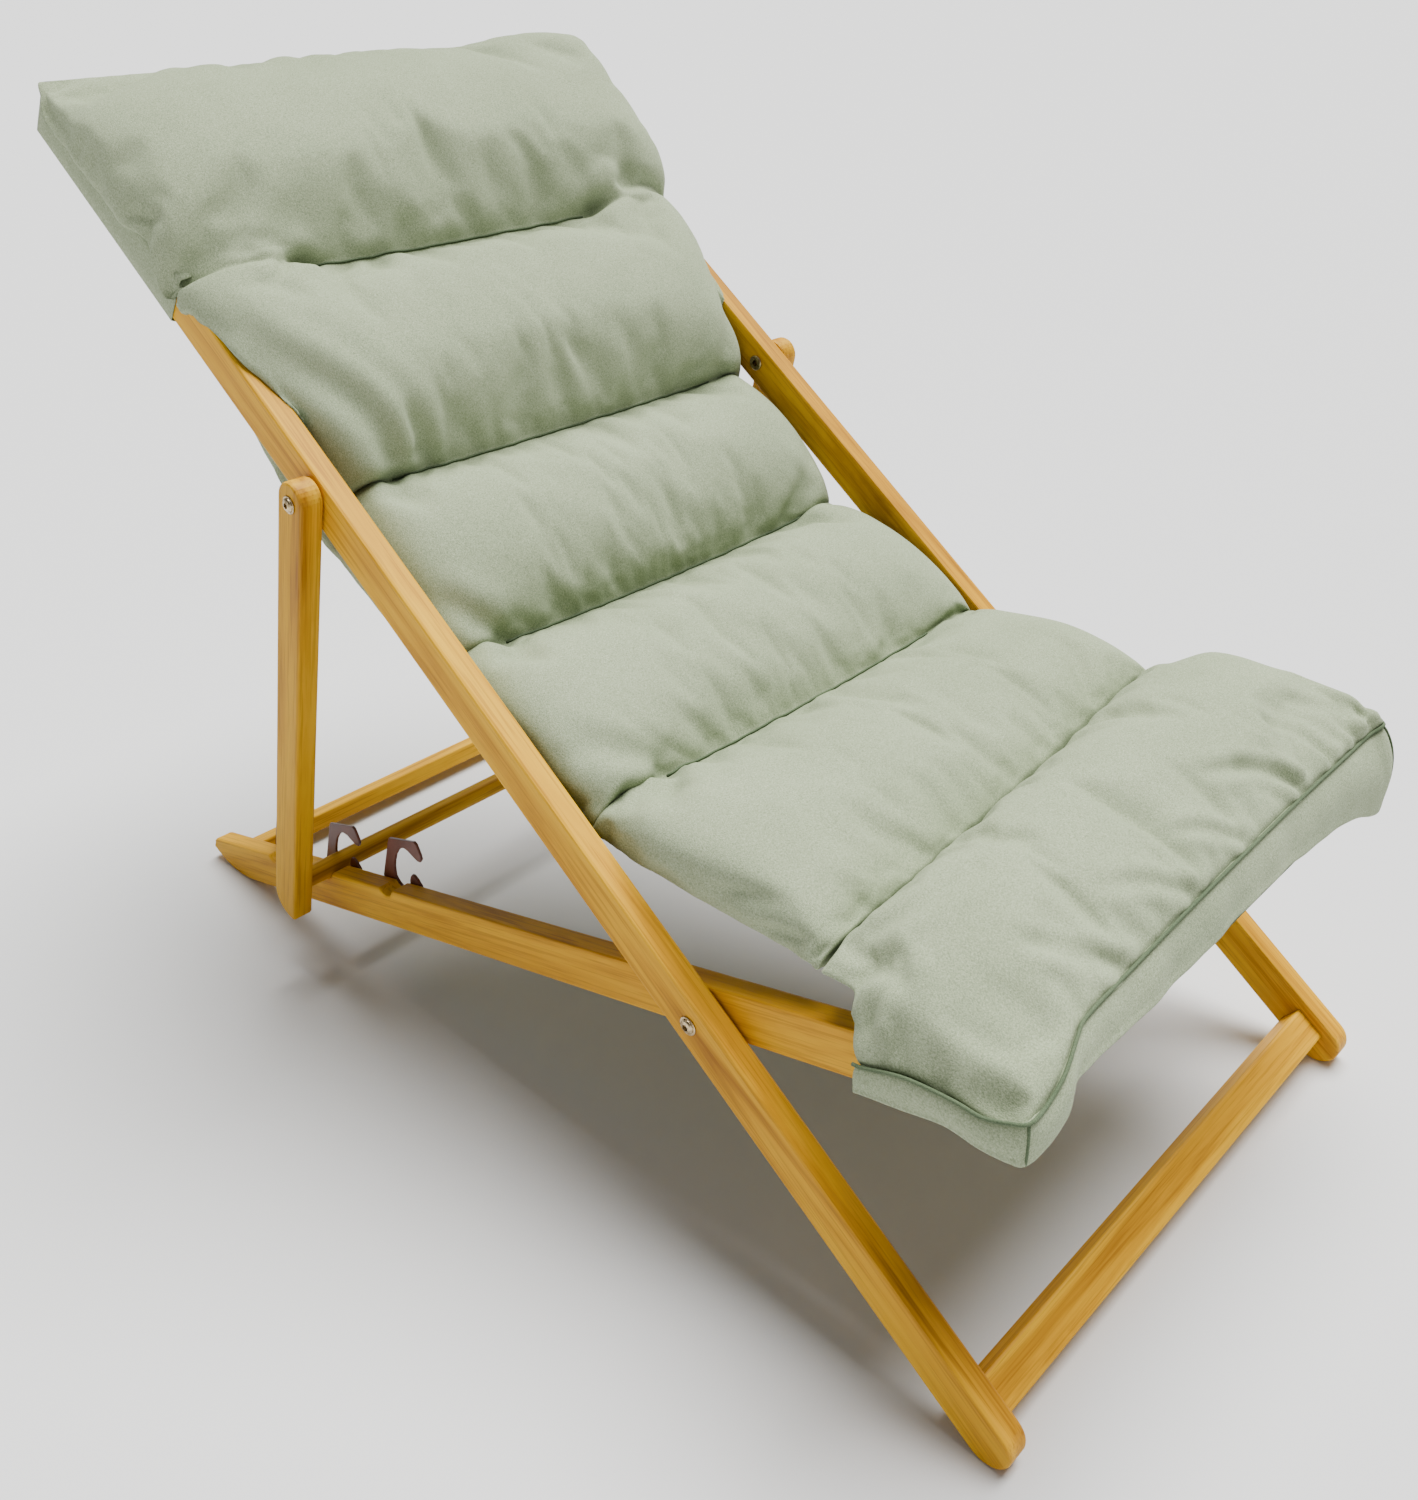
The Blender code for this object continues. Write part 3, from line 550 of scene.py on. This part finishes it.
KNEE_CORNERS = (6, 18)            # the stations at the pocket's front corners
KNEE_HALF_WIDTH = 0.2900
KNEE_REAR_HALF_WIDTH = 0.266      # between the back rails
KNEE_ROWS = 40


def knee_seam(x):
    """Side-view place of the knee seam at each place across; it runs a little askew."""
    return -0.0855 + 0.065 * x, 0.1150 + 0.045 * x


def knee_front(x):
    """Side-view place of the front piping at each place across."""
    first, last = KNEE_CORNERS
    line = np.array([piping for piping, _, _ in KNEE_EDGE[first:last + 1]])
    return np.interp(x, line[:, 0], line[:, 1]), np.interp(x, line[:, 0], line[:, 2])


def knee_side(x, y):
    """Height of the side piping at each place along, on the side that x is on."""
    first, last = KNEE_CORNERS
    right = np.array([piping for piping, _, _ in KNEE_EDGE[first::-1]])
    left = np.array([piping for piping, _, _ in KNEE_EDGE[last:]])
    return np.where(x < 0, np.interp(y, right[:, 1], right[:, 2]), np.interp(y, left[:, 1], left[:, 2]))


def on_panel(number, x, share):
    """A place on a panel's top: across, and its share of the way from lower to upper seam."""
    low, high = (np.array(p) for p in (*SEAMS, on_back(1.0, 0.045))[number:number + 2])
    chord = high - low
    across = np.array([-chord[1], chord[0]]) / np.linalg.norm(chord)
    # the headrest comes after the four panels that have crowns and leans of their own
    crown, lean = (*zip(CROWNS, LEANS), (0.042, 0.5))[number]
    loft = crown * float(crown_shape(min(max(share, 0.001), 0.999), lean)) - 0.006
    return (x, *(low + chord * share + across * loft))


def fold(number, *places, depth=0.005, spread=0.010):
    """A soft fold over a panel, from its deepest place to where it dies out."""
    return [on_panel(number, x, share) for x, share in places], depth, spread


COVER_CREASES = [
    # out of the ends of the head seam
    fold(3, (-0.172, 0.99), (-0.215, 0.96), (-0.262, 0.90), depth=0.008, spread=0.011),
    fold(4, (-0.172, 0.01), (-0.205, 0.06), (-0.245, 0.10), depth=0.007, spread=0.010),
    fold(4, (0.172, 0.01), (0.212, 0.07), (0.262, 0.16), depth=0.010, spread=0.012),
    fold(4, (-0.05, 0.03), (-0.09, 0.22), (-0.11, 0.40), depth=0.004, spread=0.016),
    fold(4, (0.10, 0.03), (0.11, 0.25), (0.09, 0.45), depth=0.004, spread=0.016),
    # long folds up the upper back
    fold(3, (-0.205, 0.03), (-0.222, 0.25), (-0.262, 0.55), (-0.285, 0.78), depth=0.009, spread=0.012),
    fold(3, (-0.170, 0.03), (-0.180, 0.22), (-0.205, 0.48), (-0.225, 0.66), depth=0.006, spread=0.010),
    fold(3, (0.045, 0.03), (0.030, 0.25), (-0.005, 0.52), (-0.030, 0.72), depth=0.005, spread=0.008),
    fold(3, (0.100, 0.03), (0.098, 0.22), (0.080, 0.45), depth=0.003, spread=0.010),
    fold(3, (-0.100, 0.98), (-0.105, 0.78), (-0.095, 0.55), depth=0.004, spread=0.012),
    fold(3, (0.080, 0.98), (0.060, 0.80), (0.030, 0.55), depth=0.004, spread=0.012),
    fold(3, (0.210, 0.02), (0.232, 0.14), (0.252, 0.30), depth=0.007, spread=0.011),
    # out of the seams of the lower back and the seat
    fold(2, (-0.205, 0.98), (-0.214, 0.84), (-0.205, 0.66), depth=0.006, spread=0.010),
    fold(2, (-0.198, 0.03), (-0.224, 0.14), (-0.248, 0.30), depth=0.008, spread=0.011),
    fold(2, (0.195, 0.03), (0.218, 0.16), (0.240, 0.34), depth=0.006, spread=0.011),
    fold(2, (0.02, 0.97), (0.04, 0.76), (0.03, 0.50), depth=0.003, spread=0.014),
    fold(1, (-0.195, 0.98), (-0.212, 0.86), (-0.200, 0.70), depth=0.006, spread=0.010),
    fold(1, (-0.182, 0.03), (-0.215, 0.14), (-0.245, 0.28), depth=0.009, spread=0.012),
    fold(1, (0.180, 0.97), (0.205, 0.82), (0.225, 0.64), depth=0.005, spread=0.011),
    fold(0, (-0.182, 0.98), (-0.208, 0.86), (-0.235, 0.72), depth=0.008, spread=0.011),
    fold(0, (-0.02, 0.97), (-0.05, 0.78), (-0.10, 0.60), depth=0.003, spread=0.014),
    fold(0, (-0.16, 0.03), (-0.175, 0.22), (-0.165, 0.45), depth=0.004, spread=0.012),
]
KNEE_CREASES = [
    # up from the front piping
    ([(0.147, -0.2640, 0.1220), (0.118, -0.2350, 0.1420), (0.062, -0.2100, 0.1500)], 0.007, 0.0065),
    ([(0.050, -0.2640, 0.1200), (0.012, -0.2400, 0.1400), (-0.040, -0.2200, 0.1490)], 0.006, 0.0060),
    ([(-0.035, -0.2640, 0.1160), (-0.070, -0.2420, 0.1360), (-0.110, -0.2250, 0.1450)], 0.005, 0.0065),
    ([(-0.135, -0.2640, 0.1090), (-0.165, -0.2400, 0.1300), (-0.195, -0.2100, 0.1380)], 0.006, 0.0070),
    ([(0.205, -0.2640, 0.1220), (0.195, -0.2300, 0.1450), (0.160, -0.2000, 0.1520)], 0.006, 0.0065),
    # pleats at the left corner
    ([(0.250, -0.2640, 0.1220), (0.245, -0.2380, 0.1440), (0.225, -0.2050, 0.1520)], 0.006, 0.0055),
    ([(0.275, -0.2640, 0.1250), (0.272, -0.2400, 0.1440), (0.262, -0.2100, 0.1500)], 0.006, 0.0050),
    # where the pad spreads out over the right rail, and a fold along its rear
    ([(-0.289, -0.1560, 0.0880), (-0.272, -0.1560, 0.1250), (-0.245, -0.1640, 0.1440)], 0.014, 0.0085),
    ([(-0.240, -0.1180, 0.1200), (-0.205, -0.1420, 0.1450), (-0.150, -0.1560, 0.1530)], 0.005, 0.0090),
]


CLOTH_FRAMES = 20
CLOTH_PRESSURE = 2.0
CLOTH_GROWTH = 0.05               # how much larger the cloth is cut than its shape


def inflate(obj, held, cap):
    """Lets the cloth swell and crease between its held places, by no more than a cap."""
    start = np.array([v.co for v in obj.data.vertices])
    group = obj.vertex_groups.new(name="held")
    group.add([int(i) for i in np.flatnonzero(held)], 1.0, "REPLACE")
    cloth = obj.modifiers.new("cloth", "CLOTH")
    settings = cloth.settings
    settings.quality = 6
    settings.mass = 0.25
    settings.tension_stiffness = 18
    settings.compression_stiffness = 9
    settings.shear_stiffness = 6
    settings.bending_stiffness = 0.35
    settings.tension_damping = settings.compression_damping = 8
    settings.shrink_min = -CLOTH_GROWTH
    settings.use_pressure = True
    settings.uniform_pressure_force = CLOTH_PRESSURE
    settings.vertex_group_mass = "held"
    settings.effector_weights.gravity = 0.0
    cloth.collision_settings.use_collision = False
    cloth.point_cache.frame_start = 1
    cloth.point_cache.frame_end = CLOTH_FRAMES
    scene = bpy.context.scene
    for step in range(1, CLOTH_FRAMES + 1):
        scene.frame_set(step)
    graph = bpy.context.evaluated_depsgraph_get()
    swollen = obj.evaluated_get(graph).data
    moved = np.array([v.co for v in swollen.vertices])
    obj.modifiers.remove(cloth)
    scene.frame_set(1)
    shift = moved - start
    length = np.linalg.norm(shift, axis=1, keepdims=True)
    shift *= np.minimum(1.0, cap / np.maximum(length, 1e-9))
    obj.data.vertices.foreach_set("co", (start + shift).ravel())
    obj.vertex_groups.clear()
    obj.data.update()


def subdivide(obj):
    """Subdivides once and makes the result the object's own mesh."""
    modifier = obj.modifiers.new("smooth", "SUBSURF")
    modifier.levels = modifier.render_levels = 1
    graph = bpy.context.evaluated_depsgraph_get()
    mesh = bpy.data.meshes.new_from_object(obj.evaluated_get(graph))
    obj.modifiers.clear()
    obj.data = mesh


def keep_clear(obj):
    """Presses the finished cloth clear of the back rails again."""
    offset = np.array([0, PIVOT.y, PIVOT.z])
    verts = np.array([v.co for v in obj.data.vertices]) - offset
    obj.data.vertices.foreach_set("co", (clear_of_rails(verts) + offset).ravel())
    obj.data.update()


def crease(obj, routes):
    """Presses soft folds into the cloth. A route is (points from the pivot, depth, half width)."""
    mesh = obj.data
    count = len(mesh.vertices)
    verts = np.empty(3 * count)
    mesh.vertices.foreach_get("co", verts)
    verts = verts.reshape(-1, 3)
    normals = np.empty(3 * count)
    mesh.vertices.foreach_get("normal", normals)
    normals = normals.reshape(-1, 3)
    shift = np.zeros(count)
    for points, depth, spread in routes:
        line = smooth_path([np.array(p) + np.array([0, PIVOT.y, PIVOT.z]) for p in points], 8)
        best, share = np.full(count, np.inf), np.zeros(count)
        for k, (a, b) in enumerate(zip(line, line[1:])):
            t = np.clip((verts - a) @ (b - a) / np.dot(b - a, b - a), 0, 1)
            gap = np.linalg.norm(verts - (a + t[:, None] * (b - a)), axis=1)
            closer = gap < best
            best = np.where(closer, gap, best)
            share = np.where(closer, (k + t) / (len(line) - 1), share)
        taper = np.sqrt(np.clip(1 - share, 0, 1)) * smoothstep(-0.05, 0.08, share)
        # each fold has a softer ridge along both its sides
        ridge = 0.55 * np.exp(-((best - 1.9 * spread) / (1.1 * spread)) ** 2)
        dent = np.exp(-(best / spread) ** 2) - ridge
        shift -= depth * taper * dent
    mesh.vertices.foreach_set("co", (verts + normals * shift[:, None]).ravel())
    mesh.update()


def seam_threads(cover):
    """A line of thread in each of the long cover's seams, where it is stitched."""
    threads = []
    row = 0
    for number, rows in enumerate(PANEL_ROWS):
        row += rows - 1
        reach = STITCH_HALF[number + 1]
        ring = [Vector(cover.data.vertices[row * RING + j].co) for j in range(RING // 4, 3 * RING // 4)]
        line = [(p.x, p.y - PIVOT.y, p.z - PIVOT.z + 0.0008) for p in ring if abs(p.x) < reach]
        threads.append(tube(f"seam_thread_{number + 1}", np.array(line), 0.0012, THREAD, sides=8))
    return threads


def long_cover():
    """The stuffed cover from the knee seam to the head end, in one piece."""
    rings, held = body_panels()
    head, head_held = head_rings()
    rings += head
    held += head_held
    verts = clear_of_rails(np.vstack(rings))
    cover = as_mesh("long_cover", verts, tube_faces(len(rings), RING))
    cover.data.materials.append(SAGE)
    mask = np.concatenate(held)
    mask[:RING] = True
    mask[-RING:] = True
    inflate(cover, mask, cap=0.014)
    crease(cover, COVER_CREASES)
    subdivide(cover)
    keep_clear(cover)
    # the first vertices of a subdivided mesh are still those of its rings
    threads = seam_threads(cover)
    cover.data.shade_smooth()
    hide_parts("seat_front_panel", "seat_rear_panel", "lower_back_panel", "upper_back_panel",
                "head_panel")
    return cover, threads


def knee_cover():
    """The knee panel: a stuffed pad from the knee seam to the piping, over the rails' ends."""
    rings, held = [], []
    for row in range(KNEE_ROWS):
        share = row / (KNEE_ROWS - 1)
        spread = float(smoothstep(0.17, 0.30, share))
        width = KNEE_REAR_HALF_WIDTH + (KNEE_HALF_WIDTH - KNEE_REAR_HALF_WIDTH) * spread
        # as on the headrest, the left side stands up and the right side rounds off
        rounded = padded_ring(width, 0.05, RING, side_power=8.0, top_power=1.9, belly=0.10)
        boxy = padded_ring(width, 0.05, RING, side_power=12.0, top_power=3.4, belly=0.10)
        sample = rounded + (boxy - rounded) * smoothstep(0.05, 0.22, rounded[:, 0:1]) * spread
        x = sample[:, 0]
        side = smoothstep(width - 0.024, width - 0.004, np.abs(x))
        (rear_y, rear_z), (front_y, front_z) = knee_seam(x), knee_front(x)
        y = rear_y - 0.0010 + (front_y - rear_y) * share
        chord = rear_z + (front_z - rear_z) * share
        puff = math.sin(math.pi * min(share, 0.9999) ** 0.80) ** 0.60
        droop = 0.42 * smoothstep(0.12, KNEE_HALF_WIDTH, -x)
        droop = droop + 0.10 * smoothstep(0.15, KNEE_HALF_WIDTH, x)
        high = chord + 0.040 * puff * (1 - droop)
        high -= 0.010 * (1 - share) ** 2 * (1 - smoothstep(0.10, 0.24, np.abs(x)))
        high += 0.010 * smoothstep(0.12, 0.27, x) * (smoothstep(0.50, 0.85, share) - 0.6 * (1 - share))
        # the underside lies on the seat rails, and dips past their ends
        rails = 0.0250 - 0.2838 * y
        past_rail = smoothstep(-0.262, -0.288, y) * smoothstep(0.21, 0.25, np.abs(x))
        rails = rails - 0.022 * past_rail
        inner = 0.0800 + (rails - 0.0800) * smoothstep(0.0, 0.5, share)
        tuck = np.where(x < 0, 0.0110, 0.0020)
        outer = 0.0900 + (knee_side(x, y) - tuck - 0.0900) * spread
        low = np.maximum(rails, inner) * (1 - side) + outer * side
        low = np.minimum(low, high - 0.003)
        rings.append(np.column_stack([x, y, low + (high - low) * sample[:, 1]]))
        held.append(sample[:, 1] < 0.25)
    pad = as_mesh("knee_cover", np.vstack(rings), tube_faces(KNEE_ROWS, RING))
    pad.data.materials.append(SAGE)
    mask = np.concatenate(held)
    mask[:RING] = True
    mask[-RING:] = True
    inflate(pad, mask, cap=0.008)
    subdivide(pad)
    crease(pad, KNEE_CREASES)
    pad.data.shade_smooth()
    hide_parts("knee_panel")
    return pad


def knee_edge(count):
    """The pocket's edge as evenly spaced stations: piping, hem, bulge and the way outwards."""
    line = resample(smooth_path([(*piping, *hem, bulge) for piping, hem, bulge in KNEE_EDGE], 8), count)
    step = np.gradient(line[:, :2], axis=0)
    step /= np.linalg.norm(step, axis=1, keepdims=True)
    # the route runs from -X to +X round the front, so outwards is to its right
    outward = np.column_stack([step[:, 1], -step[:, 0], np.zeros(count)])
    return line[:, :3], line[:, 3:6], line[:, 6], outward


def knee_skirt():
    """The boxed band that hangs from the piping: cloth with a turned hem, open behind."""
    count, drop_rows = 260, 12
    rings = []
    for piping, hem, bulge, out in zip(*knee_edge(count)):
        x, y = piping[:2]
        slack = 0.0010 + 0.0016 * float(1 - smoothstep(0.15, 0.24, abs(x)))
        ring = []
        for thick, order in ((0.0016, range(drop_rows)), (-0.0016, range(drop_rows - 1, -1, -1))):
            for k in order:
                share = k / (drop_rows - 1)
                wave = math.sin(70 * x + 40 * y + 2.1 * share)
                wave += 0.6 * math.sin(131 * x - 60 * y + share)
                turned = 0.0012 * float(smoothstep(0.84, 0.90, share))
                out_by = bulge * math.sin(math.pi * share ** 0.8) + slack * wave * share * (1.2 - share)
                out_by += thick + (turned if thick > 0 else -turned)
                ring.append(piping + (hem - piping) * share + out * out_by)
        rings.append(np.array(ring))
    around = 2 * drop_rows
    faces = tube_faces(count, around, caps=False)
    for row, turn in ((0, 1), (count - 1, -1)):
        faces.append(tuple([row * around + j for j in range(around)][::turn]))
    skirt = as_mesh("knee_skirt", np.vstack(rings), faces)
    skirt.data.materials.append(SAGE)
    subdivide(skirt)
    skirt.data.shade_smooth()
    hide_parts("knee_band_front", "knee_band_left", "knee_band_right")
    return skirt


def tube(name, points, radius, material, sides=10):
    """A round cord of cloth or thread along points that are measured from the pivot."""
    points = np.asarray(points)
    rings = []
    for i, p in enumerate(points):
        ahead = points[min(i + 1, len(points) - 1)] - points[max(i - 1, 0)]
        ahead /= np.linalg.norm(ahead)
        side = np.cross(ahead, (0.0, 0.35, 1.0) if abs(ahead[2]) < 0.9 else (1.0, 0.0, 0.0))
        side /= np.linalg.norm(side)
        up = np.cross(side, ahead)
        turns = np.linspace(0, 2 * math.pi, sides, endpoint=False)
        rings.append(p + radius * (np.outer(np.cos(turns), side) + np.outer(np.sin(turns), up)))
    faces = tube_faces(len(points), sides, caps=False)
    faces.append(tuple(range(sides))[::-1])
    faces.append(tuple(range(sides * (len(points) - 1), sides * len(points))))
    obj = as_mesh(name, np.vstack(rings), faces)
    obj.data.materials.append(material)
    return obj


def knee_piping():
    """The corded seam along the knee pocket's top edge."""
    piping, _, _, outward = knee_edge(320)
    return tube("knee_piping", piping + 0.0026 * outward + np.array([0, 0, 0.0012]), 0.0014, THREAD)


def corner_seams():
    """The upright seams at the two front corners of the knee pocket."""
    seams = []
    for side, sign, station in zip(("right", "left"), (-1, 1), KNEE_CORNERS):
        piping, hem, bulge = KNEE_EDGE[station]
        out = np.array([0.7 * sign, -0.7, 0.0])
        shares = np.linspace(0, 0.97, 16)[:, None]
        upright = np.array(piping) + (np.array(hem) - np.array(piping)) * shares
        upright += out * (bulge * np.sin(np.pi * shares ** 0.8) + 0.0016)
        seams.append(tube(f"corner_seam_{side}", upright, 0.0011, THREAD))
    return seams


HOOD_SIDE = (                     # (across, above) down a rail's outer face and round its back
    (0.2800, 0.0290), (0.2890, 0.0290), (0.2913, 0.0230), (0.2914, 0.0080), (0.2914, -0.0040),
    (0.2913, -0.0210), (0.2870, -0.0258), (0.2620, -0.0275),
)
HOOD_ALONG = (0.757, 0.9995)
HOOD_THICK = 0.0010


def hood():
    """The hood under the headrest: cloth round the rails' outer faces and over their backs."""
    rows, points_across = 60, 60
    front, rear = HOOD_ALONG
    rings = []
    for row in range(rows):
        along = front + (rear - front) * row / (rows - 1)
        sag = np.interp(along, (0.757, 0.80, 0.87, 0.93, 1.01),
                        (-0.0500, -0.0430, -0.0320, -0.0262, -0.0255))
        half = [*HOOD_SIDE, (0.20, sag * 0.5 - 0.014), (0.10, sag), (0.0, sag * 1.02)]
        path = resample(smooth_path(half + [(-x, n) for x, n in half[-2::-1]], 6), points_across)
        step = np.gradient(path, axis=0)
        normal = np.column_stack([step[:, 1], -step[:, 0]]) / np.linalg.norm(step, axis=1, keepdims=True)
        loop = np.vstack([path, (path + normal * HOOD_THICK)[::-1]])
        rings.append(np.array([(x, *on_back(along, n)) for x, n in loop]))
    around = 2 * points_across
    faces = tube_faces(rows, around, caps=False) + strip_ends(rows, around)
    shell = as_mesh("hood", np.vstack(rings), faces)
    shell.data.materials.append(SAGE)
    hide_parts("hood_back")
    return shell


def hood_end():
    """The boxed end of the hood, past the rails' heads."""
    rings = []
    rows, ring = 8, 120
    for row in range(rows):
        share = row / (rows - 1)
        along = 0.9895 + 0.0145 * share
        shrink = 1 - 0.25 * smoothstep(0.4, 1.0, share)
        sample = padded_ring(0.2912, 0.05, ring, side_power=14.0, top_power=3.0, belly=0.5)
        low, high = -0.0262 * shrink, 0.034 - 0.008 * share
        up = low + (high - low) * sample[:, 1]
        across = sample[:, 0] * (1 - 0.006 * share)
        rings.append(np.column_stack([across, [on_back(along, n) for n in up]]))
    end = as_mesh("hood_end_cloth", np.vstack(rings), tube_faces(rows, ring))
    end.data.materials.append(SAGE)
    subdivide(end)
    end.data.shade_smooth()
    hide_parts("hood_end")
    return end


# ---------------------------------------------------------------- the sling

def wrap(at, above, wide, thick, toward):
    """The sling's turn round a bar, from under its middle to over it.

    The bar's middle is at a place along and above its rails, and it is so wide and so thick.
    """
    reach = at + toward * (wide / 2 + 0.0020)
    high = thick / 2 + 0.0016
    low_corner = [(reach - toward * 0.003, above - high), (reach, above - high + 0.003)]
    high_corner = [(reach, above + high - 0.003), (reach - toward * 0.003, above + high)]
    return [(at, above - high), *low_corner, *high_corner, (at, above + high)]


SLING_HALF_WIDTH = 0.232
SLING_THICK = 0.002
SLING_POINTS = 47                 # vertices across the sling


def sling_cloth():
    """The canvas strip, sewn round both bars."""
    knee = [on_seat(*p) for p in wrap(-0.2655, 0.0, 0.026, 0.024, -1)]
    head = [on_back(*p) for p in wrap(0.955, -0.002, 0.030, 0.026, 1)]
    line = np.vstack([knee[:-1], sling_span(8), head[1:]])
    step = np.gradient(line, axis=0)
    normal = np.column_stack([-step[:, 1], step[:, 0]]) / np.linalg.norm(step, axis=1, keepdims=True)
    xs = np.linspace(-SLING_HALF_WIDTH, SLING_HALF_WIDTH, SLING_POINTS)
    rings = []
    for point, up in zip(line, normal):
        top = [(x, *(point + up * SLING_THICK * 0.5)) for x in xs]
        under = [(x, *(point - up * SLING_THICK * 0.5)) for x in xs[::-1]]
        rings.append(np.array(top + under))
    around = 2 * len(xs)
    faces = tube_faces(len(line), around, caps=False) + strip_ends(len(line), around)
    cloth = as_mesh("sling_cloth", np.vstack(rings), faces)
    cloth.data.materials.append(CANVAS)
    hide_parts("sling")
    return cloth


# ---------------------------------------------------------------- put together

dress_cad()
cover, threads = long_cover()
knee = knee_cover()
skirt = knee_skirt()
piping = knee_piping()
corners = corner_seams()
hood_cloth = hood()
hood_tip = hood_end()
canvas = sling_cloth()

for piece, material_slot in ((cover, "quilted_cover"), (canvas, "sling_canvas"),
                             *((thread, "quilted_cover") for thread in threads)):
    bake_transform(piece)
for piece, body in (*((part, "seat_frame") for part in (knee, skirt, piping, *corners)),
                    (hood_cloth, "back_frame"), (hood_tip, "back_frame")):
    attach(piece, body)


# ---------------------------------------------------------------- floor, light and camera

def pale_floor():
    bpy.ops.mesh.primitive_plane_add(size=60, location=(0, 0, 0))
    floor = bpy.context.object
    floor.name = "floor"
    material, _, shader = node_tree("pale_floor")
    shader.inputs["Base Color"].default_value = (0.72, 0.72, 0.715, 1)
    shader.inputs["Roughness"].default_value = 0.9
    floor.data.materials.append(material)


def studio_light():
    """An even white surround and one broad lamp overhead, a little to the sitter's left."""
    world = bpy.data.worlds.new("studio")
    bpy.context.scene.world = world
    world.use_nodes = True
    world.node_tree.nodes["Background"].inputs["Color"].default_value = (1.0, 1.0, 1.0, 1)
    world.node_tree.nodes["Background"].inputs["Strength"].default_value = 0.24
    sun = bpy.data.lights.new("overhead", "SUN")
    sun.energy = 8.2
    sun.angle = math.radians(45)
    lamp = bpy.data.objects.new("overhead", sun)
    lamp.location = (0.9, 0.15, 3.0)
    aim = Vector((0, 0, 0.4)) - lamp.location
    lamp.rotation_euler = aim.to_track_quat("-Z", "Y").to_euler()
    bpy.context.scene.collection.objects.link(lamp)


def camera():
    """The photograph's view: from the front, over the sitter's right, looking down at the seat.

    Its turn, place and lens were fitted to the three frames in the photograph.
    """
    right = Vector((0.6912, -0.7226, -0.0122)).normalized()
    down = Vector((-0.3391, -0.3094, -0.8884))
    down = (down - right * down.dot(right)).normalized()
    back = right.cross(-down)
    lens = bpy.data.cameras.new("camera")
    lens.sensor_width = lens.sensor_height = 36.0
    lens.sensor_fit = "VERTICAL"
    lens.lens = 34.644
    lens.shift_x = 0.01285
    lens.shift_y = -0.05057
    lens.clip_start = 0.02
    view = bpy.data.objects.new("camera", lens)
    axes = Matrix((right, -down, back)).transposed()
    view.matrix_world = Matrix.Translation((-0.8923, -0.5901 + PIVOT.y, 0.9616)) @ axes.to_4x4()
    bpy.context.scene.collection.objects.link(view)
    bpy.context.scene.camera = view


pale_floor()
studio_light()
camera()
